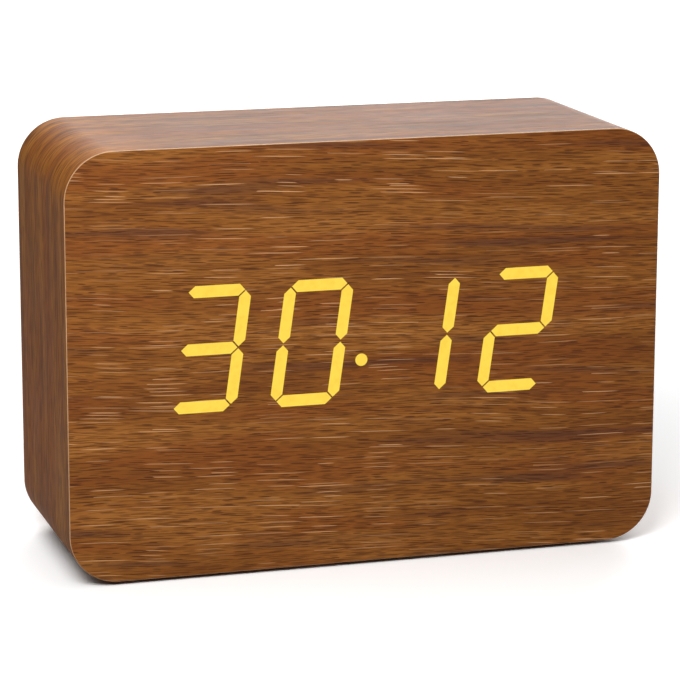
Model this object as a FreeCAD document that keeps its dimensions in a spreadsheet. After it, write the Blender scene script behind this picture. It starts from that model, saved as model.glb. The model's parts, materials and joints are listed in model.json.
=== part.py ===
import FreeCAD, Part
import math
import os
import Sketcher
from FreeCAD import Placement, Rotation, Vector

# Desk clock in a rounded wood-look block. Millimetres, +Z up, the front faces -Y.
# The origin is on the table, under the middle of the block.

document = FreeCAD.newDocument("desk_clock")
sheet = document.addObject("Spreadsheet::Sheet", "Sizes")

# Driving sizes: each one can be set by itself.
drivingSizes = [
    ("caseWidth", 150, "block, left to right"),
    ("caseHeight", 105, "block, bottom to top, without the feet"),
    ("caseDepth", 56.5, "block, front sheet to rear sheet"),
    ("caseCorner", 12, "radius of the four corners"),
    ("foilThickness", 0.4, "front and rear wood-look sheets"),
    ("bandThickness", 0.3, "wood-look strip round the edge"),
    ("frontBoardThickness", 3, "board behind the front sheet"),
    ("wallThickness", 11, "routed ring"),
    ("cavityCorner", 14, "inside corners of the ring, room for the screws"),
    ("footSize", 9, "rubber foot, a square pad"),
    ("footHeight", 1, "rubber foot"),
    ("footInsetSide", 16, "foot centre from the block's side"),
    ("footInsetFront", 11, "foot centre from the front and the rear"),
    ("ledgeWidth", 3, "ledge in the ring that the cover rests on"),
    ("coverRecess", 1, "cover lies this far below the rear face"),
    ("coverThickness", 2.2, "rear cover plate"),
    ("coverCorner", 5, "rear cover outline"),
    ("coverGap", 0.3, "cover to ring"),
    ("coverScrewInset", 4.8, "screw centre from the cover's edge"),
    ("coverScrewLength", 12, "cover screw under its head"),
    ("coverShank", 2.6, "cover screw"),
    ("coverHead", 5, "cover screw"),
    ("coverHeadHeight", 0.9, "cover screw, lies in the recess of the rear"),
    ("screwPlay", 0.15, "a screw in its hole, on each side"),
    ("boardShank", 2, "screws of the circuit boards"),
    ("boardHead", 4, "screws of the circuit boards"),
    ("boardHeadHeight", 1.5, "screws of the circuit boards"),
    ("boardBite", 2.4, "display screw in the front board"),
    ("bossBite", 4.5, "control board screw in its boss"),
    ("pilotSpare", 0.3, "a blind hole is this much deeper than its screw"),
    ("displayShift", -1.0, "display centre, right of the block's middle"),
    ("displayRise", 3.6, "display centre, above the block's middle"),
    ("digitPitch", 25.6, "first to second digit, third to fourth"),
    ("colonPitch", 27.3, "second to third digit"),
    ("barSpacing", 14.4, "left upright bars to right upright bars"),
    ("barReach", 14.1, "middle bar to top bar and to bottom bar"),
    ("barWidth", 2.9, "light bar"),
    ("barGap", 0.25, "bar tip back from the corner point"),
    ("digitSlant", 8, "digits lean to the right, degrees"),
    ("dotDiameter", 3.1, "colon dots"),
    ("dotReach", 5.1, "colon dot above and below the middle bars"),
    ("dotShift", -0.4, "colon dots, right of the display centre"),
    ("reflectorDepth", 8, "reflector, front to circuit board"),
    ("reflectorMargin", 2.4, "reflector beyond the light bars"),
    ("reflectorGap", 0.3, "reflector to the front board's window"),
    ("funnelShare", 0.6, "funnel at the lamp chip as a share of its mouth"),
    ("earSize", 9.5, "screw ear of the reflector"),
    ("earSpread", 40, "screw ear left and right of the display centre"),
    ("earLap", 1, "screw ear into the reflector block"),
    ("circuitThickness", 1.6, "circuit boards"),
    ("circuitCorner", 1.5, "circuit boards"),
    ("circuitMargin", 1.5, "display board beyond the reflector's sides"),
    ("lampLength", 1.6, "lamp chip"),
    ("lampWidth", 0.8, "lamp chip"),
    ("lampHeight", 0.7, "lamp chip"),
    ("cellDiameter", 10.5, "battery cell"),
    ("cellLength", 44.5, "battery cell with its nub"),
    ("nubDiameter", 3.8, "battery cell's positive nub"),
    ("nubLength", 1.0, "battery cell's positive nub"),
    ("cellGap", 0.6, "cell to cell, and cell to the tub's sides"),
    ("cellPlay", 0.3, "cell to door and cell to tub floor"),
    ("contactThickness", 0.4, "battery contact strip"),
    ("contactWidth", 7, "battery contact strip"),
    ("leafWidth", 4, "spring leaf of a battery contact"),
    ("leafReach", 3.6, "spring leaf from its strip to the cell"),
    ("padRise", 0.3, "raised pad under a cell's nub"),
    ("tubMargin", 3, "battery tub above the ring's inner floor"),
    ("tubWall", 1.4, "battery tub"),
    ("tubRibWidth", 1.6, "ribs between the cells"),
    ("tubRibHeight", 2.0, "ribs between the cells"),
    ("doorThickness", 1.8, "battery door"),
    ("doorCorner", 2, "battery door outline"),
    ("doorLap", 2.0, "door beyond the tub at the bottom and sides"),
    ("doorLapTop", 4.0, "door beyond the tub at the top"),
    ("doorGap", 0.4, "door edge to the cover"),
    ("doorSeat", 0.1, "door to the ledge it lies on"),
    ("hookWidth", 6, "door hook"),
    ("hookSpread", 16, "door hook from the middle"),
    ("hookThickness", 1.2, "door hook"),
    ("hookReach", 2.0, "door hook below the door"),
    ("hookRoot", 1.6, "door hook on the door's inner face"),
    ("lipThickness", 1.2, "cover lip over the hooks"),
    ("hookPlay", 0.4, "hook in its slot"),
    ("hookSwing", 1.0, "room in front of a hook for its swing"),
    ("tongueWidth", 10, "snap tongue"),
    ("tongueThickness", 1, "snap tongue"),
    ("tongueBend", 3, "snap tongue, height of its U"),
    ("tongueDepth", 4.5, "snap tongue, from the door's inner face"),
    ("tongueSetback", 0.6, "snap tongue below the door's top edge"),
    ("scoopDiameter", 12, "finger scoop over the tongue"),
    ("scoopDepth", 1.1, "finger scoop over the tongue"),
    ("controlWidth", 80, "control board"),
    ("controlHeight", 21, "control board"),
    ("controlShift", -10, "control board centre, right of the middle"),
    ("controlMargin", 3, "control board below the ring's inner roof"),
    ("controlGap", 6, "control board to the cover"),
    ("controlInset", 3.5, "control board screws from its edges"),
    ("bossDiameter", 5, "cover bosses under the control board"),
    ("buttonDiameter", 7, "button cap"),
    ("buttonPitch", 14, "button to button"),
    ("buttonShift", 6, "middle button, right of the middle"),
    ("buttonProud", 0.8, "cap beyond the cover's face"),
    ("buttonGap", 0.25, "cap to its hole"),
    ("buttonTravel", 0.6, "press of a button"),
    ("flangeDiameter", 9, "flange that keeps the cap in"),
    ("flangeThickness", 0.8, "flange that keeps the cap in"),
    ("flangeGap", 0.1, "flange to the cover at rest"),
    ("switchSize", 6, "tactile switch"),
    ("switchHeight", 3.5, "tactile switch"),
    ("plungerDiameter", 3.4, "switch plunger"),
    ("plungerRise", 0.8, "switch plunger above its body"),
    ("plungerSink", 1.5, "switch plunger inside its body"),
    ("plungerGap", 0.15, "switch plunger to its body"),
    ("buzzerDiameter", 12, "alarm buzzer"),
    ("buzzerHeight", 5.2, "alarm buzzer"),
    ("buzzerShift", -34, "alarm buzzer, right of the middle"),
    ("buzzerPort", 2, "sound port of the buzzer"),
    ("soundSlotLength", 8, "sound slots in the cover"),
    ("soundSlotWidth", 1.2, "sound slots in the cover"),
    ("soundSlotPitch", 2.4, "sound slots in the cover"),
    ("soundSlotCount", 5, "sound slots in the cover"),
    ("socketInset", 22, "power socket from the cover's right edge"),
    ("socketWidth", 9, "power socket housing"),
    ("socketHeight", 11, "power socket housing"),
    ("socketLength", 12, "power socket housing behind the cover"),
    ("socketCollar", 8.6, "power socket collar in the cover"),
    ("socketBore", 6.3, "power socket, for a 5.5 mm plug"),
    ("socketBoreDepth", 9.5, "power socket"),
    ("socketPin", 2, "power socket centre pin"),
    ("socketPinSetback", 0.8, "centre pin below the mouth"),
    ("socketPlay", 0.1, "power socket in its hole and ribs"),
    ("socketRib", 1.2, "ribs that hold the power socket"),
    ("socketRibLength", 9, "ribs that hold the power socket"),
    ("socketLeafThickness", 0.3, "power socket side spring"),
    ("socketLeafWidth", 2.4, "power socket side spring"),
    ("ribbonWidth", 12, "ribbon cable"),
    ("ribbonThickness", 0.9, "ribbon cable"),
    ("ribbonTail", 3, "straight ends of the ribbon cable"),
    ("ribbonSag", 3.6, "ribbon cable, its middle below its ends"),
    ("ribbonSocketWidth", 15, "ribbon sockets"),
    ("ribbonSocketSize", 5, "ribbon sockets, height and depth"),
    ("chipHeight", 2.3, "circuit packages"),
    ("chipLength", 10.3, "circuit packages"),
    ("chipWidth", 7.5, "circuit packages"),
    ("leadPitch", 1.27, "circuit package leads"),
    ("leadWidth", 0.45, "circuit package leads"),
    ("leadThickness", 0.25, "circuit package leads"),
    ("leadReach", 1.4, "circuit package leads beyond the package"),
    ("leadSink", 0.3, "circuit package leads inside the package"),
    ("crystalDiameter", 2, "clock crystal"),
    ("crystalLength", 6.2, "clock crystal"),
    ("capacitorDiameter", 6.3, "filter capacitor"),
    ("capacitorHeight", 8, "filter capacitor"),
]

# Sizes and places that follow from the driving ones.
derivedSizes = [
    ("caseMiddle", "=footHeight + caseHeight / 2"),
    ("frontFace", "=-caseDepth / 2"),
    ("rearFace", "=caseDepth / 2"),
    ("boardFront", "=frontFace + foilThickness"),
    ("ringFront", "=boardFront + frontBoardThickness"),
    ("ringBack", "=rearFace - foilThickness"),
    ("coreWidth", "=caseWidth - 2 * bandThickness"),
    ("coreHeight", "=caseHeight - 2 * bandThickness"),
    ("coreCorner", "=caseCorner - bandThickness"),
    ("bandLength", "=ringBack - boardFront"),
    ("ringLength", "=ringBack - ringFront"),
    ("cavityWidth", "=caseWidth - 2 * wallThickness"),
    ("cavityHeight", "=caseHeight - 2 * wallThickness"),
    ("cavityFloor", "=caseMiddle - cavityHeight / 2"),
    ("cavityRoof", "=caseMiddle + cavityHeight / 2"),
    ("footLeft", "=-caseWidth / 2 + footInsetSide - footSize / 2"),
    ("footRight", "=caseWidth / 2 - footInsetSide - footSize / 2"),
    ("footFront", "=-caseDepth / 2 + footInsetFront - footSize / 2"),
    ("footRear", "=caseDepth / 2 - footInsetFront - footSize / 2"),
    ("coverWidth", "=cavityWidth + 2 * ledgeWidth"),
    ("coverHeight", "=cavityHeight + 2 * ledgeWidth"),
    ("rebateWidth", "=coverWidth + 2 * coverGap"),
    ("rebateHeight", "=coverHeight + 2 * coverGap"),
    ("rebateCorner", "=coverCorner + coverGap"),
    ("coverFace", "=rearFace - coverRecess"),
    ("coverInside", "=coverFace - coverThickness"),
    ("rebateDepth", "=ringBack - coverInside"),
    ("coverScrewSide", "=coverWidth / 2 - coverScrewInset"),
    ("coverScrewLow", "=caseMiddle - coverHeight / 2 + coverScrewInset"),
    ("coverScrewHigh", "=caseMiddle + coverHeight / 2 - coverScrewInset"),
    ("coverScrewHole", "=coverShank + 2 * screwPlay"),
    ("coverPilotDepth", "=coverScrewLength - coverThickness + pilotSpare"),
    ("boardHole", "=boardShank + 2 * screwPlay"),
    ("displayMiddle", "=caseMiddle + displayRise"),
    ("slantReach", "=tan(digitSlant * 1deg) * (barReach + barWidth / 2)"),
    ("reflectorWidth", "=2 * digitPitch + colonPitch + barSpacing + barWidth + 2 * slantReach"
                       " + 2 * reflectorMargin"),
    ("reflectorHeight", "=2 * barReach + barWidth + 2 * reflectorMargin"),
    ("windowWidth", "=reflectorWidth + 2 * reflectorGap"),
    ("windowHeight", "=reflectorHeight + 2 * reflectorGap"),
    ("reflectorBack", "=boardFront + reflectorDepth"),
    ("earLength", "=reflectorBack - ringFront"),
    ("earLeft", "=displayShift - earSpread"),
    ("earRight", "=displayShift + earSpread"),
    ("earLow", "=displayMiddle - reflectorHeight / 2 - earSize / 2 + earLap"),
    ("earHigh", "=displayMiddle + reflectorHeight / 2 + earSize / 2 - earLap"),
    ("boardPilotDepth", "=boardBite + pilotSpare"),
    ("displayBoardWidth", "=reflectorWidth + 2 * circuitMargin"),
    ("displayBoardHeight", "=reflectorHeight + 2 * (earSize - earLap)"),
    ("displayBoardBack", "=reflectorBack + circuitThickness"),
    ("cellPitch", "=cellDiameter + cellGap"),
    ("tubWidth", "=cellLength + 2 * contactThickness + padRise + leafReach"),
    ("tubHeight", "=3 * cellDiameter + 4 * cellGap"),
    ("doorWidth", "=tubWidth + 2 * doorLap"),
    ("doorHeight", "=tubHeight + doorLap + doorLapTop"),
    ("doorInside", "=coverFace - doorThickness"),
    ("recessWidth", "=doorWidth + 2 * doorGap"),
    ("recessHeight", "=doorHeight + 2 * doorGap"),
    ("recessCorner", "=doorCorner + doorGap"),
    ("recessDepth", "=doorThickness + doorSeat"),
    ("tubOuterWidth", "=recessWidth + 2 * tubWall"),
    ("tubOuterHeight", "=recessHeight + 2 * tubWall"),
    ("doorMiddle", "=cavityFloor + tubMargin + tubOuterHeight / 2"),
    ("doorLow", "=doorMiddle - doorHeight / 2"),
    ("doorTop", "=doorMiddle + doorHeight / 2"),
    ("tubMiddle", "=doorMiddle - (doorLapTop - doorLap) / 2"),
    ("cellDepth", "=doorInside - doorSeat - cellPlay - cellDiameter / 2"),
    ("tubFloor", "=cellDepth - cellDiameter / 2 - cellPlay"),
    ("tubBack", "=tubFloor - tubWall"),
    ("tubBlockDepth", "=coverFace - tubBack"),
    ("tubInnerDepth", "=coverFace - tubFloor"),
    ("tubRibLow", "=tubMiddle - cellPitch / 2"),
    ("tubRibHigh", "=tubMiddle + cellPitch / 2"),
    ("tubRibLength", "=cellLength * 0.7"),
    ("hookFace", "=coverFace - lipThickness - hookPlay * 0.75"),
    ("hookBack", "=hookFace - hookThickness"),
    ("hookHeight", "=hookReach + hookRoot"),
    ("hookMiddle", "=doorLow + (hookRoot - hookReach) / 2"),
    ("hookSlotWidth", "=hookWidth + 2 * hookPlay"),
    ("hookSlotHeight", "=hookHeight + 4 * hookPlay"),
    ("hookSlotFront", "=hookBack - hookSwing"),
    ("hookSlotDepth", "=coverFace - lipThickness - hookSlotFront"),
    ("tongueSlotWidth", "=tongueWidth + 2 * hookPlay"),
    ("tongueSlotHeight", "=doorLapTop + doorGap"),
    ("tongueSlotMiddle", "=doorTop + doorGap - tongueSlotHeight / 2"),
    ("tongueSlotDepth", "=doorThickness + tongueDepth + 2 * hookPlay"),
    ("tongueNotchHeight", "=tongueSetback + tongueBend - hookPlay"),
    ("tongueNotchMiddle", "=doorTop - tongueNotchHeight / 2 + tongueThickness / 2"),
    ("tongueCutHeight", "=tongueNotchHeight + tongueThickness"),
    ("recessTop", "=doorTop + doorGap"),
    ("controlMiddle", "=cavityRoof - controlMargin - controlHeight / 2"),
    ("controlRear", "=coverInside - controlGap"),
    ("controlFront", "=controlRear - circuitThickness"),
    ("controlLeft", "=controlShift - controlWidth / 2 + controlInset"),
    ("controlRight", "=controlShift + controlWidth / 2 - controlInset"),
    ("controlLow", "=controlMiddle - controlHeight / 2 + controlInset"),
    ("controlHigh", "=controlMiddle + controlHeight / 2 - controlInset"),
    ("bossPilotDepth", "=bossBite + pilotSpare"),
    ("buttonOne", "=buttonShift - buttonPitch"),
    ("buttonTwo", "=buttonShift"),
    ("buttonThree", "=buttonShift + buttonPitch"),
    ("buttonHole", "=buttonDiameter + 2 * buttonGap"),
    ("plungerTop", "=controlRear + switchHeight + plungerRise"),
    ("capLength", "=coverFace + buttonProud - plungerTop"),
    ("flangeFront", "=coverInside - flangeGap - flangeThickness"),
    ("switchTop", "=controlRear + switchHeight"),
    ("switchWellWidth", "=plungerDiameter + 2 * plungerGap"),
    ("switchWellDepth", "=plungerSink + buttonTravel + 2 * plungerGap"),
    ("plungerLength", "=plungerSink + plungerRise"),
    ("plungerFront", "=switchTop - plungerSink"),
    ("buzzerTop", "=controlRear + buzzerHeight"),
    ("soundSlotSpan", "=soundSlotPitch * (soundSlotCount - 1)"),
    ("soundSlotFirst", "=controlMiddle - soundSlotSpan / 2"),
    ("socketShift", "=coverWidth / 2 - socketInset"),
    ("socketCollarHole", "=socketCollar + 2 * socketPlay"),
    ("socketRibLeft", "=socketShift - socketWidth / 2 - socketPlay - socketRib / 2"),
    ("socketRibRight", "=socketShift + socketWidth / 2 + socketPlay + socketRib / 2"),
    ("socketPinRoot", "=coverFace - socketBoreDepth"),
    ("socketPinLength", "=socketBoreDepth - socketPinSetback"),
]

# Small round pieces that nobody sees have flats instead of a round side.
screwSides = 12
rodSides = 24

# The date on the display, first digit to last, and the bars that light for each figure.
shownDigits = "3012"
litBars = {"0": "abcdef", "1": "bc", "2": "abged", "3": "abgcd"}
barLetters = "abcdefg"


def fillSheet():
    row = 1
    for name, size, note in drivingSizes:
        sheet.set("A%d" % row, note)
        sheet.set("B%d" % row, str(size))
        sheet.setAlias("B%d" % row, name)
        row += 1
    for name, formula in derivedSizes:
        sheet.set("A%d" % row, name)
        sheet.set("B%d" % row, formula)
        sheet.setAlias("B%d" % row, name)
        row += 1
    document.recompute()


def bound(name):
    """Text of a size for an expression. A minus sign before the name makes it negative."""
    if name.startswith("-"):
        return "-Sizes." + name[1:]
    return "Sizes." + name if name != "0" else "0"


def number(name):
    """The same size as a plain number."""
    if name == "0":
        return 0.0
    if name.startswith("-"):
        return -float(sheet.get(name[1:]))
    return float(sheet.get(name))


# Helpers for bodies. Sketches lie in planes that face the viewer, at a named depth.

def newBody(name):
    body = document.addObject("PartDesign::Body", name)
    body.Label = name
    return body


def newSketch(body, depth):
    sketch = body.newObject("Sketcher::SketchObject", body.Name + "_sketch")
    plane = [item for item in body.Origin.OriginFeatures if item.Role == "XZ_Plane"][0]
    sketch.AttachmentSupport = [(plane, "")]
    sketch.MapMode = "FlatFace"
    sketch.setExpression("AttachmentOffset.Base.z", "-(" + bound(depth) + ")")
    return sketch


def constrain(sketch, constraint, text):
    index = sketch.addConstraint(constraint)
    sketch.setExpression("Constraints[%d]" % index, text)


def roundedRectangle(sketch, width, height, corner, middleX="0", middleZ="0"):
    halfWidth, halfHeight, radius = number(width) / 2, number(height) / 2, number(corner)
    x, z = number(middleX), number(middleZ)
    inX, inZ = halfWidth - radius, halfHeight - radius
    sides = [
        Part.LineSegment(Vector(x - halfWidth, z + inZ, 0), Vector(x - halfWidth, z - inZ, 0)),
        Part.LineSegment(Vector(x - inX, z - halfHeight, 0), Vector(x + inX, z - halfHeight, 0)),
        Part.LineSegment(Vector(x + halfWidth, z - inZ, 0), Vector(x + halfWidth, z + inZ, 0)),
        Part.LineSegment(Vector(x + inX, z + halfHeight, 0), Vector(x - inX, z + halfHeight, 0)),
    ]
    lines = sketch.addGeometry(sides, False)
    arcs = []
    for quarter, (signX, signZ) in enumerate([(-1, -1), (1, -1), (1, 1), (-1, 1)]):
        start = math.pi + quarter * math.pi / 2
        circle = Part.Circle(Vector(x + signX * inX, z + signZ * inZ, 0), Vector(0, 0, 1), radius)
        arc = Part.ArcOfCircle(circle, start, start + math.pi / 2)
        arcs.append(sketch.addGeometry(arc, False))
    make = Sketcher.Constraint
    for i in range(4):
        sketch.addConstraint(make("Tangent", lines[i], 2, arcs[i], 1))
        sketch.addConstraint(make("Tangent", arcs[i], 2, lines[(i + 1) % 4], 1))
    sketch.addConstraint(make("Vertical", lines[0]))
    sketch.addConstraint(make("Vertical", lines[2]))
    sketch.addConstraint(make("Horizontal", lines[1]))
    sketch.addConstraint(make("Horizontal", lines[3]))
    for i in range(1, 4):
        sketch.addConstraint(make("Equal", arcs[0], arcs[i]))
    middleX, middleZ = bound(middleX), bound(middleZ)
    halfX, halfZ = bound(width) + " / 2", bound(height) + " / 2"
    constrain(sketch, make("Radius", arcs[0], radius), bound(corner))
    constrain(sketch, make("DistanceX", -1, 1, lines[0], 1, x - halfWidth), middleX + " - " + halfX)
    constrain(sketch, make("DistanceX", -1, 1, lines[2], 1, x + halfWidth), middleX + " + " + halfX)
    constrain(sketch, make("DistanceY", -1, 1, lines[1], 1, z - halfHeight), middleZ + " - " + halfZ)
    constrain(sketch, make("DistanceY", -1, 1, lines[3], 1, z + halfHeight), middleZ + " + " + halfZ)


def rectangle(sketch, width, height, middleX="0", middleZ="0"):
    halfWidth, halfHeight = number(width) / 2, number(height) / 2
    x, z = number(middleX), number(middleZ)
    corners = [Vector(x + signX * halfWidth, z + signZ * halfHeight, 0)
               for signX, signZ in ((-1, -1), (1, -1), (1, 1), (-1, 1))]
    sides = [Part.LineSegment(corners[i], corners[(i + 1) % 4]) for i in range(4)]
    lines = sketch.addGeometry(sides, False)
    make = Sketcher.Constraint
    for i in range(4):
        sketch.addConstraint(make("Coincident", lines[i], 2, lines[(i + 1) % 4], 1))
        sketch.addConstraint(make("Vertical" if i % 2 else "Horizontal", lines[i]))
    middleX, middleZ = bound(middleX), bound(middleZ)
    halfX, halfZ = bound(width) + " / 2", bound(height) + " / 2"
    constrain(sketch, make("DistanceX", -1, 1, lines[0], 1, x - halfWidth), middleX + " - " + halfX)
    constrain(sketch, make("DistanceX", -1, 1, lines[1], 1, x + halfWidth), middleX + " + " + halfX)
    constrain(sketch, make("DistanceY", -1, 1, lines[0], 1, z - halfHeight), middleZ + " - " + halfZ)
    constrain(sketch, make("DistanceY", -1, 1, lines[2], 1, z + halfHeight), middleZ + " + " + halfZ)


def flattedCircle(sketch, diameter, middleX, middleZ):
    """A circle with flats, for what nobody sees. Its corners lie on the diameter."""
    x, z, radius = number(middleX), number(middleZ), number(diameter) / 2
    turns = [2 * math.pi * (i + 0.5) / screwSides for i in range(screwSides)]
    corners = [Vector(x + radius * math.cos(turn), z + radius * math.sin(turn), 0) for turn in turns]
    sides = [Part.LineSegment(corners[i - 1], corners[i]) for i in range(screwSides)]
    lines = sketch.addGeometry(sides, False)
    make = Sketcher.Constraint
    for i in range(screwSides):
        sketch.addConstraint(make("Coincident", lines[i - 1], 2, lines[i], 1))
    for i, turn in enumerate(turns):
        across, up = math.cos(turn) / 2, math.sin(turn) / 2
        constrain(sketch, make("DistanceX", -1, 1, lines[i], 2, corners[i].x),
                  "%s + %s * %.12f" % (bound(middleX), bound(diameter), across))
        constrain(sketch, make("DistanceY", -1, 1, lines[i], 2, corners[i].y),
                  "%s + %s * %.12f" % (bound(middleZ), bound(diameter), up))


def circle(sketch, diameter, middleX, middleZ):
    x, z, radius = number(middleX), number(middleZ), number(diameter) / 2
    index = sketch.addGeometry(Part.Circle(Vector(x, z, 0), Vector(0, 0, 1), radius), False)
    make = Sketcher.Constraint
    constrain(sketch, make("Diameter", index, 2 * radius), bound(diameter))
    constrain(sketch, make("DistanceX", -1, 1, index, 3, x), bound(middleX))
    constrain(sketch, make("DistanceY", -1, 1, index, 3, z), bound(middleZ))


def pad(body, sketch, length, towards="rear"):
    feature = body.newObject("PartDesign::Pad", body.Name + "_pad")
    feature.Profile = sketch
    feature.Reversed = towards == "rear"
    feature.setExpression("Length", bound(length))
    document.recompute()
    return feature


def cut(body, sketch, length, towards="rear"):
    before = body.Shape.Volume
    feature = body.newObject("PartDesign::Pocket", body.Name + "_pocket")
    feature.Profile = sketch
    feature.Reversed = towards != "rear"
    feature.setExpression("Length", bound(length))
    document.recompute()
    if body.Shape.Volume >= before:
        raise ValueError(body.Label + ": a pocket cut nothing")
    return feature


def shapeNode(name, shape):
    """A node whose shape is made by Part's own functions from the sheet's sizes."""
    node = document.addObject("Part::Feature", name)
    node.Label = name
    node.Shape = shape
    node.Placement = Placement()
    return node


def cylinderNode(name, diameter, length, x, y, z):
    """A plain cylinder along +Y, tied to the sheet. Its start lies at x, y, z."""
    node = document.addObject("Part::Cylinder", name)
    node.Label = name
    node.Placement = Placement(Vector(0, 0, 0), Rotation(Vector(1, 0, 0), -90))
    node.setExpression("Radius", bound(diameter) + " / 2")
    node.setExpression("Height", bound(length))
    node.setExpression("Placement.Base.x", bound(x))
    node.setExpression("Placement.Base.y", bound(y))
    node.setExpression("Placement.Base.z", bound(z))
    return node


def prism(points, vector):
    """A solid made from a flat closed outline that is pulled along a vector."""
    outline = Part.makePolygon(points + points[:1])
    return Part.Face(outline).extrude(vector)


def rod(start, diameter, along, sides):
    """A straight level rod with flats. Its corners lie on the diameter."""
    upward = Vector(0, 0, diameter / 2)
    across = along.cross(upward)
    across.normalize()
    across = across * (diameter / 2)
    points = []
    for i in range(sides):
        turn = 2 * math.pi * (i + 0.5) / sides
        points.append(start + across * math.cos(turn) + upward * math.sin(turn))
    return prism(points, along)


def layeredSolid(sections):
    """A solid between flat sections with matching corners. Its sides are flat too."""
    faces = [Part.Face(Part.makePolygon(section + section[:1])) for section in (sections[0], sections[-1])]
    for here, ahead in zip(sections, sections[1:]):
        for i in range(len(here)):
            corners = [here[i - 1], here[i], ahead[i], ahead[i - 1]]
            faces.append(Part.Face(Part.makePolygon(corners + corners[:1])))
    solid = Part.makeSolid(Part.makeShell(faces))
    if solid.Volume < 0:
        solid.reverse()
    return solid


def boxBetween(low, high):
    return Part.makeBox(high[0] - low[0], high[1] - low[1], high[2] - low[2], Vector(*low))


# Case

def makeCase():
    foil = newBody("front_foil_blank")
    outline = newSketch(foil, "frontFace")
    roundedRectangle(outline, "caseWidth", "caseHeight", "caseCorner", "0", "caseMiddle")
    pad(foil, outline, "foilThickness")

    band = newBody("edge_band")
    outline = newSketch(band, "boardFront")
    roundedRectangle(outline, "caseWidth", "caseHeight", "caseCorner", "0", "caseMiddle")
    roundedRectangle(outline, "coreWidth", "coreHeight", "coreCorner", "0", "caseMiddle")
    pad(band, outline, "bandLength")

    board = newBody("front_board")
    outline = newSketch(board, "boardFront")
    roundedRectangle(outline, "coreWidth", "coreHeight", "coreCorner", "0", "caseMiddle")
    rectangle(outline, "windowWidth", "windowHeight", "displayShift", "displayMiddle")
    pad(board, outline, "frontBoardThickness")
    pilots = newSketch(board, "ringFront")
    for x in ("earLeft", "earRight"):
        for z in ("earLow", "earHigh"):
            flattedCircle(pilots, "boardHole", x, z)
    cut(board, pilots, "boardPilotDepth", "front")

    ring = newBody("case_ring")
    outline = newSketch(ring, "ringFront")
    roundedRectangle(outline, "coreWidth", "coreHeight", "coreCorner", "0", "caseMiddle")
    roundedRectangle(outline, "cavityWidth", "cavityHeight", "cavityCorner", "0", "caseMiddle")
    pad(ring, outline, "ringLength")
    rebate = newSketch(ring, "ringBack")
    roundedRectangle(rebate, "rebateWidth", "rebateHeight", "rebateCorner", "0", "caseMiddle")
    cut(ring, rebate, "rebateDepth", "front")
    pilots = newSketch(ring, "coverInside")
    coverScrewHoles(pilots, "coverScrewHole")
    cut(ring, pilots, "coverPilotDepth", "front")

    rearFoil = newBody("rear_foil")
    outline = newSketch(rearFoil, "ringBack")
    roundedRectangle(outline, "caseWidth", "caseHeight", "caseCorner", "0", "caseMiddle")
    roundedRectangle(outline, "rebateWidth", "rebateHeight", "rebateCorner", "0", "caseMiddle")
    pad(rearFoil, outline, "foilThickness")
    return [band, board, ring, rearFoil]


def coverScrewHoles(sketch, diameter):
    for x in ("-coverScrewSide", "coverScrewSide"):
        for z in ("coverScrewLow", "coverScrewHigh"):
            flattedCircle(sketch, diameter, x, z)


# The control board has a screw in two opposite corners.
controlScrewPlaces = [("controlLeft", "controlHigh"), ("controlRight", "controlLow")]


def controlScrewHoles(sketch, diameter):
    for x, z in controlScrewPlaces:
        flattedCircle(sketch, diameter, x, z)


def makeFeet():
    feet = []
    places = [("left", "front", "footLeft", "footFront"), ("right", "front", "footRight", "footFront"),
              ("left", "rear", "footLeft", "footRear"), ("right", "rear", "footRight", "footRear")]
    for side, end, x, y in places:
        name = "foot_%s_%s" % (end, side)
        foot = document.addObject("Part::Box", name)
        foot.Label = name
        foot.Placement = Placement()
        foot.setExpression("Length", bound("footSize"))
        foot.setExpression("Width", bound("footSize"))
        foot.setExpression("Height", bound("footHeight"))
        foot.setExpression("Placement.Base.x", bound(x))
        foot.setExpression("Placement.Base.y", bound(y))
        feet.append(foot)
    return feet


# Display. Bar outlines are drawn upright about the display centre, then leaned to the right.

def leaned(across, up, depth):
    lean = math.tan(math.radians(number("digitSlant")))
    return Vector(number("displayShift") + across + lean * up, depth, number("displayMiddle") + up)


def barOutline(across, up, halfLength, halfWidth, upright, depth):
    """A bar with pointed ends: the six corners, in order."""
    shoulder = halfLength - halfWidth
    corners = [(-halfLength, 0), (-shoulder, halfWidth), (shoulder, halfWidth),
               (halfLength, 0), (shoulder, -halfWidth), (-shoulder, -halfWidth)]
    if upright:
        corners = [(b, a) for a, b in corners]
    return [leaned(across + a, up + b, depth) for a, b in corners]


def digitCentres():
    inner = number("colonPitch") / 2
    outer = inner + number("digitPitch")
    return [-outer, -inner, inner, outer]


def barPlace(centre, letter):
    """Centre, half length and direction of one bar of a digit."""
    side, reach, gap = number("barSpacing") / 2, number("barReach"), number("barGap")
    level = {"a": reach, "g": 0.0, "d": -reach}
    if letter in level:
        return centre, level[letter], side - gap, False
    across = centre + (side if letter in "bc" else -side)
    up = reach / 2 if letter in "bf" else -reach / 2
    return across, up, reach / 2 - gap, True


def barSection(place, depth):
    """Outline of a bar's funnel at a depth between the reflector's front and back."""
    across, up, halfLength, upright = place
    part = (depth - number("boardFront")) / number("reflectorDepth")
    share = 1 - part * (1 - number("funnelShare"))
    return barOutline(across, up, halfLength * share, number("barWidth") / 2 * share, upright, depth)


def barSolid(place, front, back):
    return layeredSolid([barSection(place, front), barSection(place, back)])


def litBarSolid(place, front, back):
    """A lit bar also fills its window in the front sheet, straight through."""
    mouth = barSection(place, front)
    face = [point - Vector(0, number("foilThickness"), 0) for point in mouth]
    return layeredSolid([face, mouth, barSection(place, back)])


def barThroughFoil(place):
    mouth = barSection(place, number("boardFront"))
    face = [point - Vector(0, number("foilThickness"), 0) for point in mouth]
    return layeredSolid([face, mouth])


def dotPlace(side):
    return leaned(number("dotShift"), side * number("dotReach"), number("boardFront"))


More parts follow.
